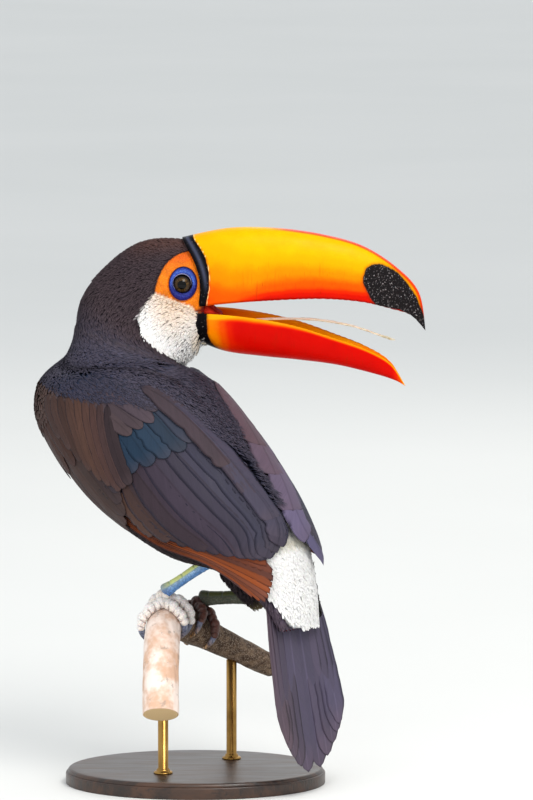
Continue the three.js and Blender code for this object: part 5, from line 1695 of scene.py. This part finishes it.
# Each leg's colours: the shank below, beside, above, in its seams and in the painted shade at the foot, and
# the toes' skin, creases, painted highlight on the upper sides and patches of painted shadow. The right leg's
# set is a darker, shaded copy of the left one's, and the near-white of the left toes holds painted highlight.
LEG_COLOURS = {
    "left": ("#6a9edc", "#a6c8e6", "#ccd584", "#7d9a86", "#5a76b4",
             "#f4e9df", "#a48f8a", "#faf6f2", "#a9aec0"),
    # The far leg: a darker, shaded copy of the near leg's colours.
    "right": ("#5a5e50", "#4a4c36", "#3e4212", "#2f3a3c", "#3c3f3a",
              "#4c2a22", "#1d1517", "#6e4032", "#3a2c2c"),
}
for number, side in enumerate(GRIPS):
    grip, ankle, thick = GRIPS[side]
    low_code, mid_code, top_code, seam_code, foot_shade_code = LEG_COLOURS[side][:5]
    toe_code, crease_code, toe_highlight_code, toe_shadow_code = LEG_COLOURS[side][5:]
    foot_joint = bark_point(grip, 0.0, 11.0)
    part = np.linspace(0, 1, SHANK_ROWS)
    path = foot_joint + (np.array(ankle, float) - foot_joint) * part[:, None]
    rise = np.array([0, 0, 1.0])
    around = np.linspace(0, 2 * np.pi, SHANK_SIDES, endpoint=False)[None]
    length = np.linalg.norm(path[-1] - path[0])
    run = (part * length)[:, None]
    upper = steps(np.cos(around), 0.1, 0.45) + 0 * run
    off_joint = np.abs((run / PLATE + 0.25) % 1 - 0.5) * PLATE
    groove = np.exp(-(((PLATE / 2 - off_joint) / 0.45) ** 2)) * upper
    seam = np.exp(-(((np.cos(around) - 0.28) / 0.09) ** 2)) + 0 * run
    knob = 0.5 * np.exp(-(((part - 0.0) / 0.12) ** 2)) + 0.6 * np.exp(-(((part - 1.0) / 0.1) ** 2))
    ends = np.sqrt(1 - 0.8 * (2 * part - 1) ** 24)
    radius = (thick * through(SHANK_RADIUS, part * 4) + knob)[:, None] - 0.4 * groove - 0.25 * seam
    bumps = waves(run * 0.9 + 0 * around, around * 4, 41 + number, coarse=1.0, fine=2.5)
    radius = radius + 0.1 * bumps * (1 - upper)
    radius = radius * ends[:, None]
    shank = swept(path, rise, radius, 0.85 * radius, SHANK_SIDES)
    # The shank's colours, with painted shade towards the foot.
    shade = layered(
        (np.ones(upper.shape), low_code),
        (steps(np.cos(around) + 0 * run, -0.6, 0.25), mid_code),
        (upper, top_code),
        (0.75 * np.maximum(groove, seam * 0.5), seam_code),
        (0.7 * steps(part, 0.25, 0.0)[:, None] + 0 * upper, foot_shade_code))
    shells = [(shank, closed_faces(SHANK_ROWS, SHANK_SIDES))]
    colours = [np.concatenate([shade.reshape(-1, 3), shade[[0, -1], 0]])]
    plates = [np.append(upper.ravel(), [0, 0])]
    for toe, (spread, turn_end) in enumerate(TOE_WAYS):
        rings, ends, top, lumps = toe_rings(grip, spread, turn_end, 50 + toe)
        shells.append((np.concatenate([rings.reshape(-1, 3), ends]), closed_faces(TOE_ROWS, TOE_SIDES)))
        # The toe's colours, with a painted highlight on the upper side and patches of painted shadow.
        shade = layered(
            (np.ones(top.shape), toe_code),
            (steps(lumps, 0.55, 0.15), crease_code),
            (0.6 * steps(top, 0.3, 0.9), toe_highlight_code),
            (0.35 * steps(waves(top * 3, lumps * 2, 61 + toe), 0.3, 1.1), toe_shadow_code))
        colours.append(np.concatenate([shade.reshape(-1, 3), shade[[0, -1], 0]]))
        plates.append(np.zeros(len(colours[-1])) + 0.5)
    part = np.linspace(0, 1, BALL_ROWS)
    low_end = bark_point(grip, 0.0, 1.5)
    ball_path = low_end + (foot_joint + [0, 0, 2.0] - low_end) * part[:, None]
    ball_size = 6.6 * np.sqrt(1 - 0.97 * (2 * part - 1) ** 4) * (1 - 0.2 * part)
    around = np.linspace(0, 2 * np.pi, TOE_SIDES, endpoint=False)[None]
    lumps = waves(part[:, None] * 9 + 0 * around, around * 2, 71, coarse=1, fine=3)
    ball_size = ball_size[:, None] * (1 + 0.05 * lumps)
    ball = swept(ball_path, [1.0, 0, 0], ball_size, ball_size, TOE_SIDES)
    shells.append((ball, closed_faces(BALL_ROWS, TOE_SIDES)))
    stains = 0.5 * steps(waves(ball[:, 0], ball[:, 2], 72), 0, 1)
    colours.append(layered((np.ones(len(ball)), toe_code), (stains, crease_code)))
    plates.append(np.zeros(len(ball)) + 0.5)
    leg = put(f"leg_{side}", *join_shells(shells), coat=with_alpha(np.concatenate(colours)),
              plate=np.concatenate(plates))
    finish_piece(leg, "leg_skin", f"foot_{side}", f"shank_{side}", skin=scaly_skin)

# ---- Claws ----
# Four curved claws to each foot, of grey-blue horn that wears to golden brown at the points. Each is
# flattened from side to side and hooks under the branch.
CLAW_ROWS, CLAW_SIDES = 40, 20

claw_horn, tree, shader = new_material("claw_horn", Coat_Weight=0.35, Coat_Roughness=0.2)
streaks = speckle(tree, stretched(tree, object_place(tree), (1.0, 1.0, 0.3)), 900.0, 4.0)
horn_shade = mixed(tree, between(tree, streaks, 0.35, 0.65), tint("#4d5166"), tint("#767c94"))
worn = mixed(tree, between(tree, streaks, 0.35, 0.65), tint("#3a2417"), tint("#b98a4e"))
along = read(tree, "along", "Fac")
horn_shade = mixed(tree, between(tree, along, 0.1, 1.0), horn_shade, worn)
dress(tree, shader, horn_shade, between(tree, streaks, 0.3, 0.7, 0.25, 0.42), streaks, 0.06)
for number, (side, (grip, _, _)) in enumerate(GRIPS.items()):
    pieces, shares = [], []
    for spread, turn_end in TOE_WAYS:
        part = np.linspace(0, 1, CLAW_ROWS)
        way = np.sign(turn_end)
        turn = np.radians(turn_end + way * (-3 + 55.5 * part))
        radius = 0.45 + 2.05 * np.sqrt(1 - part**1.2)
        rings, ends, top = gripping(grip + spread * (1 + 0.05 * part), turn, radius, CLAW_SIDES, 1.05)
        middle = bark_point(grip + spread * (1 + 0.05 * part), turn, radius * 1.05 + 0.3)[:, None]
        beside = unit(rings[:, CLAW_SIDES // 4] - rings[:, 3 * CLAW_SIDES // 4])[:, None]
        rings = rings - 0.22 * beside * ((rings - middle) * beside).sum(-1, keepdims=True)
        pieces.append(np.concatenate([rings.reshape(-1, 3), ends]))
        shares.append(np.append(np.repeat(part, CLAW_SIDES), [0, 1]) * (0.55 + 0.6 * number))
    claws = put(f"claws_{side}", np.concatenate(pieces), closed_faces(CLAW_ROWS, CLAW_SIDES, len(TOE_WAYS)),
                along=np.concatenate(shares))
    finish_piece(claws, "claw_horn", *(f"claw_{side}_{n}" for n in (1, 2, 3, 4)), skin=claw_horn)

# ---- Studio ----
# A wide pale floor under an even pale sky, with four square soft lamps: a key and a fill from the front, a
# small one that sparkles in the eye and on the bill, and a weak one from behind.
FLOOR_HALF = 60000.0

floor_paint, tree, shader = new_material("pale_floor", Roughness=0.85)
cloud = speckle(tree, object_place(tree), 1.5, 3.0)
grey = mixed(tree, cloud, tint("#dcdedc"), tint("#e4e5e3"))
dress(tree, shader, grey, None, speckle(tree, object_place(tree), 900.0), 0.05)
ends = np.array([[-1, -1, 0], [1, -1, 0], [1, 1, 0], [-1, 1, 0]]) * FLOOR_HALF
floor = put("floor", ends, [np.array([[0, 1, 2, 3]])])
floor.data.materials.append(floor_paint)

world = bpy.data.worlds.new("soft_light")
bpy.context.scene.world = world
world.use_nodes = True
world.node_tree.nodes["Background"].inputs["Color"].default_value = tint("#f1f4f7")
world.node_tree.nodes["Background"].inputs["Strength"].default_value = 1.0


def softbox(name, place, aim, size, power, colour):
    """A square lamp of that size that stands at place and faces aim, all in metres."""
    lamp = bpy.data.lights.new(name, "AREA")
    lamp.shape, lamp.size, lamp.energy, lamp.color = "SQUARE", size, power, tint(colour)[:3]
    held = bpy.data.objects.new(name, lamp)
    bpy.context.scene.collection.objects.link(held)
    turn_to(held, place, aim)
    return held


def turn_to(held, place, aim):
    """Puts an object at place with its own -Z axis towards aim."""
    back = unit(np.array(place, float) - np.array(aim, float))
    right = unit(np.cross([0, 0, 1.0], back))
    axes = np.eye(4)
    axes[:3] = np.stack([right, np.cross(back, right), back, place], -1)
    held.matrix_world = Matrix(axes.tolist())


TARGET = (0.0536, 0.0, 0.291)
softbox("key", (0.9, -1.6, 2.1), TARGET, 1.3, 38.0, "#fffaf4")
softbox("fill", (-0.9, -2.6, 0.9), TARGET, 1.6, 34.0, "#fdfcff").visible_glossy = False
softbox("spark", (0.42, -0.84, 1.24), TARGET, 0.3, 2.2, "#ffffff")
softbox("back", (0.6, 1.9, 1.6), TARGET, 1.4, 10.0, "#fffaf2")

# ---- Camera ----
# A long lens that looks at the bird's back from a little above and takes in the perch and the stand.
DISTANCE, ELEVATION = 4.5, np.radians(7)

lens = bpy.data.cameras.new("camera")
lens.lens = 270.0
lens.clip_end = 200.0
camera = bpy.data.objects.new("camera", lens)
bpy.context.scene.collection.objects.link(camera)
turn_to(camera, np.array(TARGET) + DISTANCE * np.array([0, -np.cos(ELEVATION), np.sin(ELEVATION)]), TARGET)
bpy.context.scene.camera = camera
bpy.context.scene.view_settings.view_transform = "Standard"
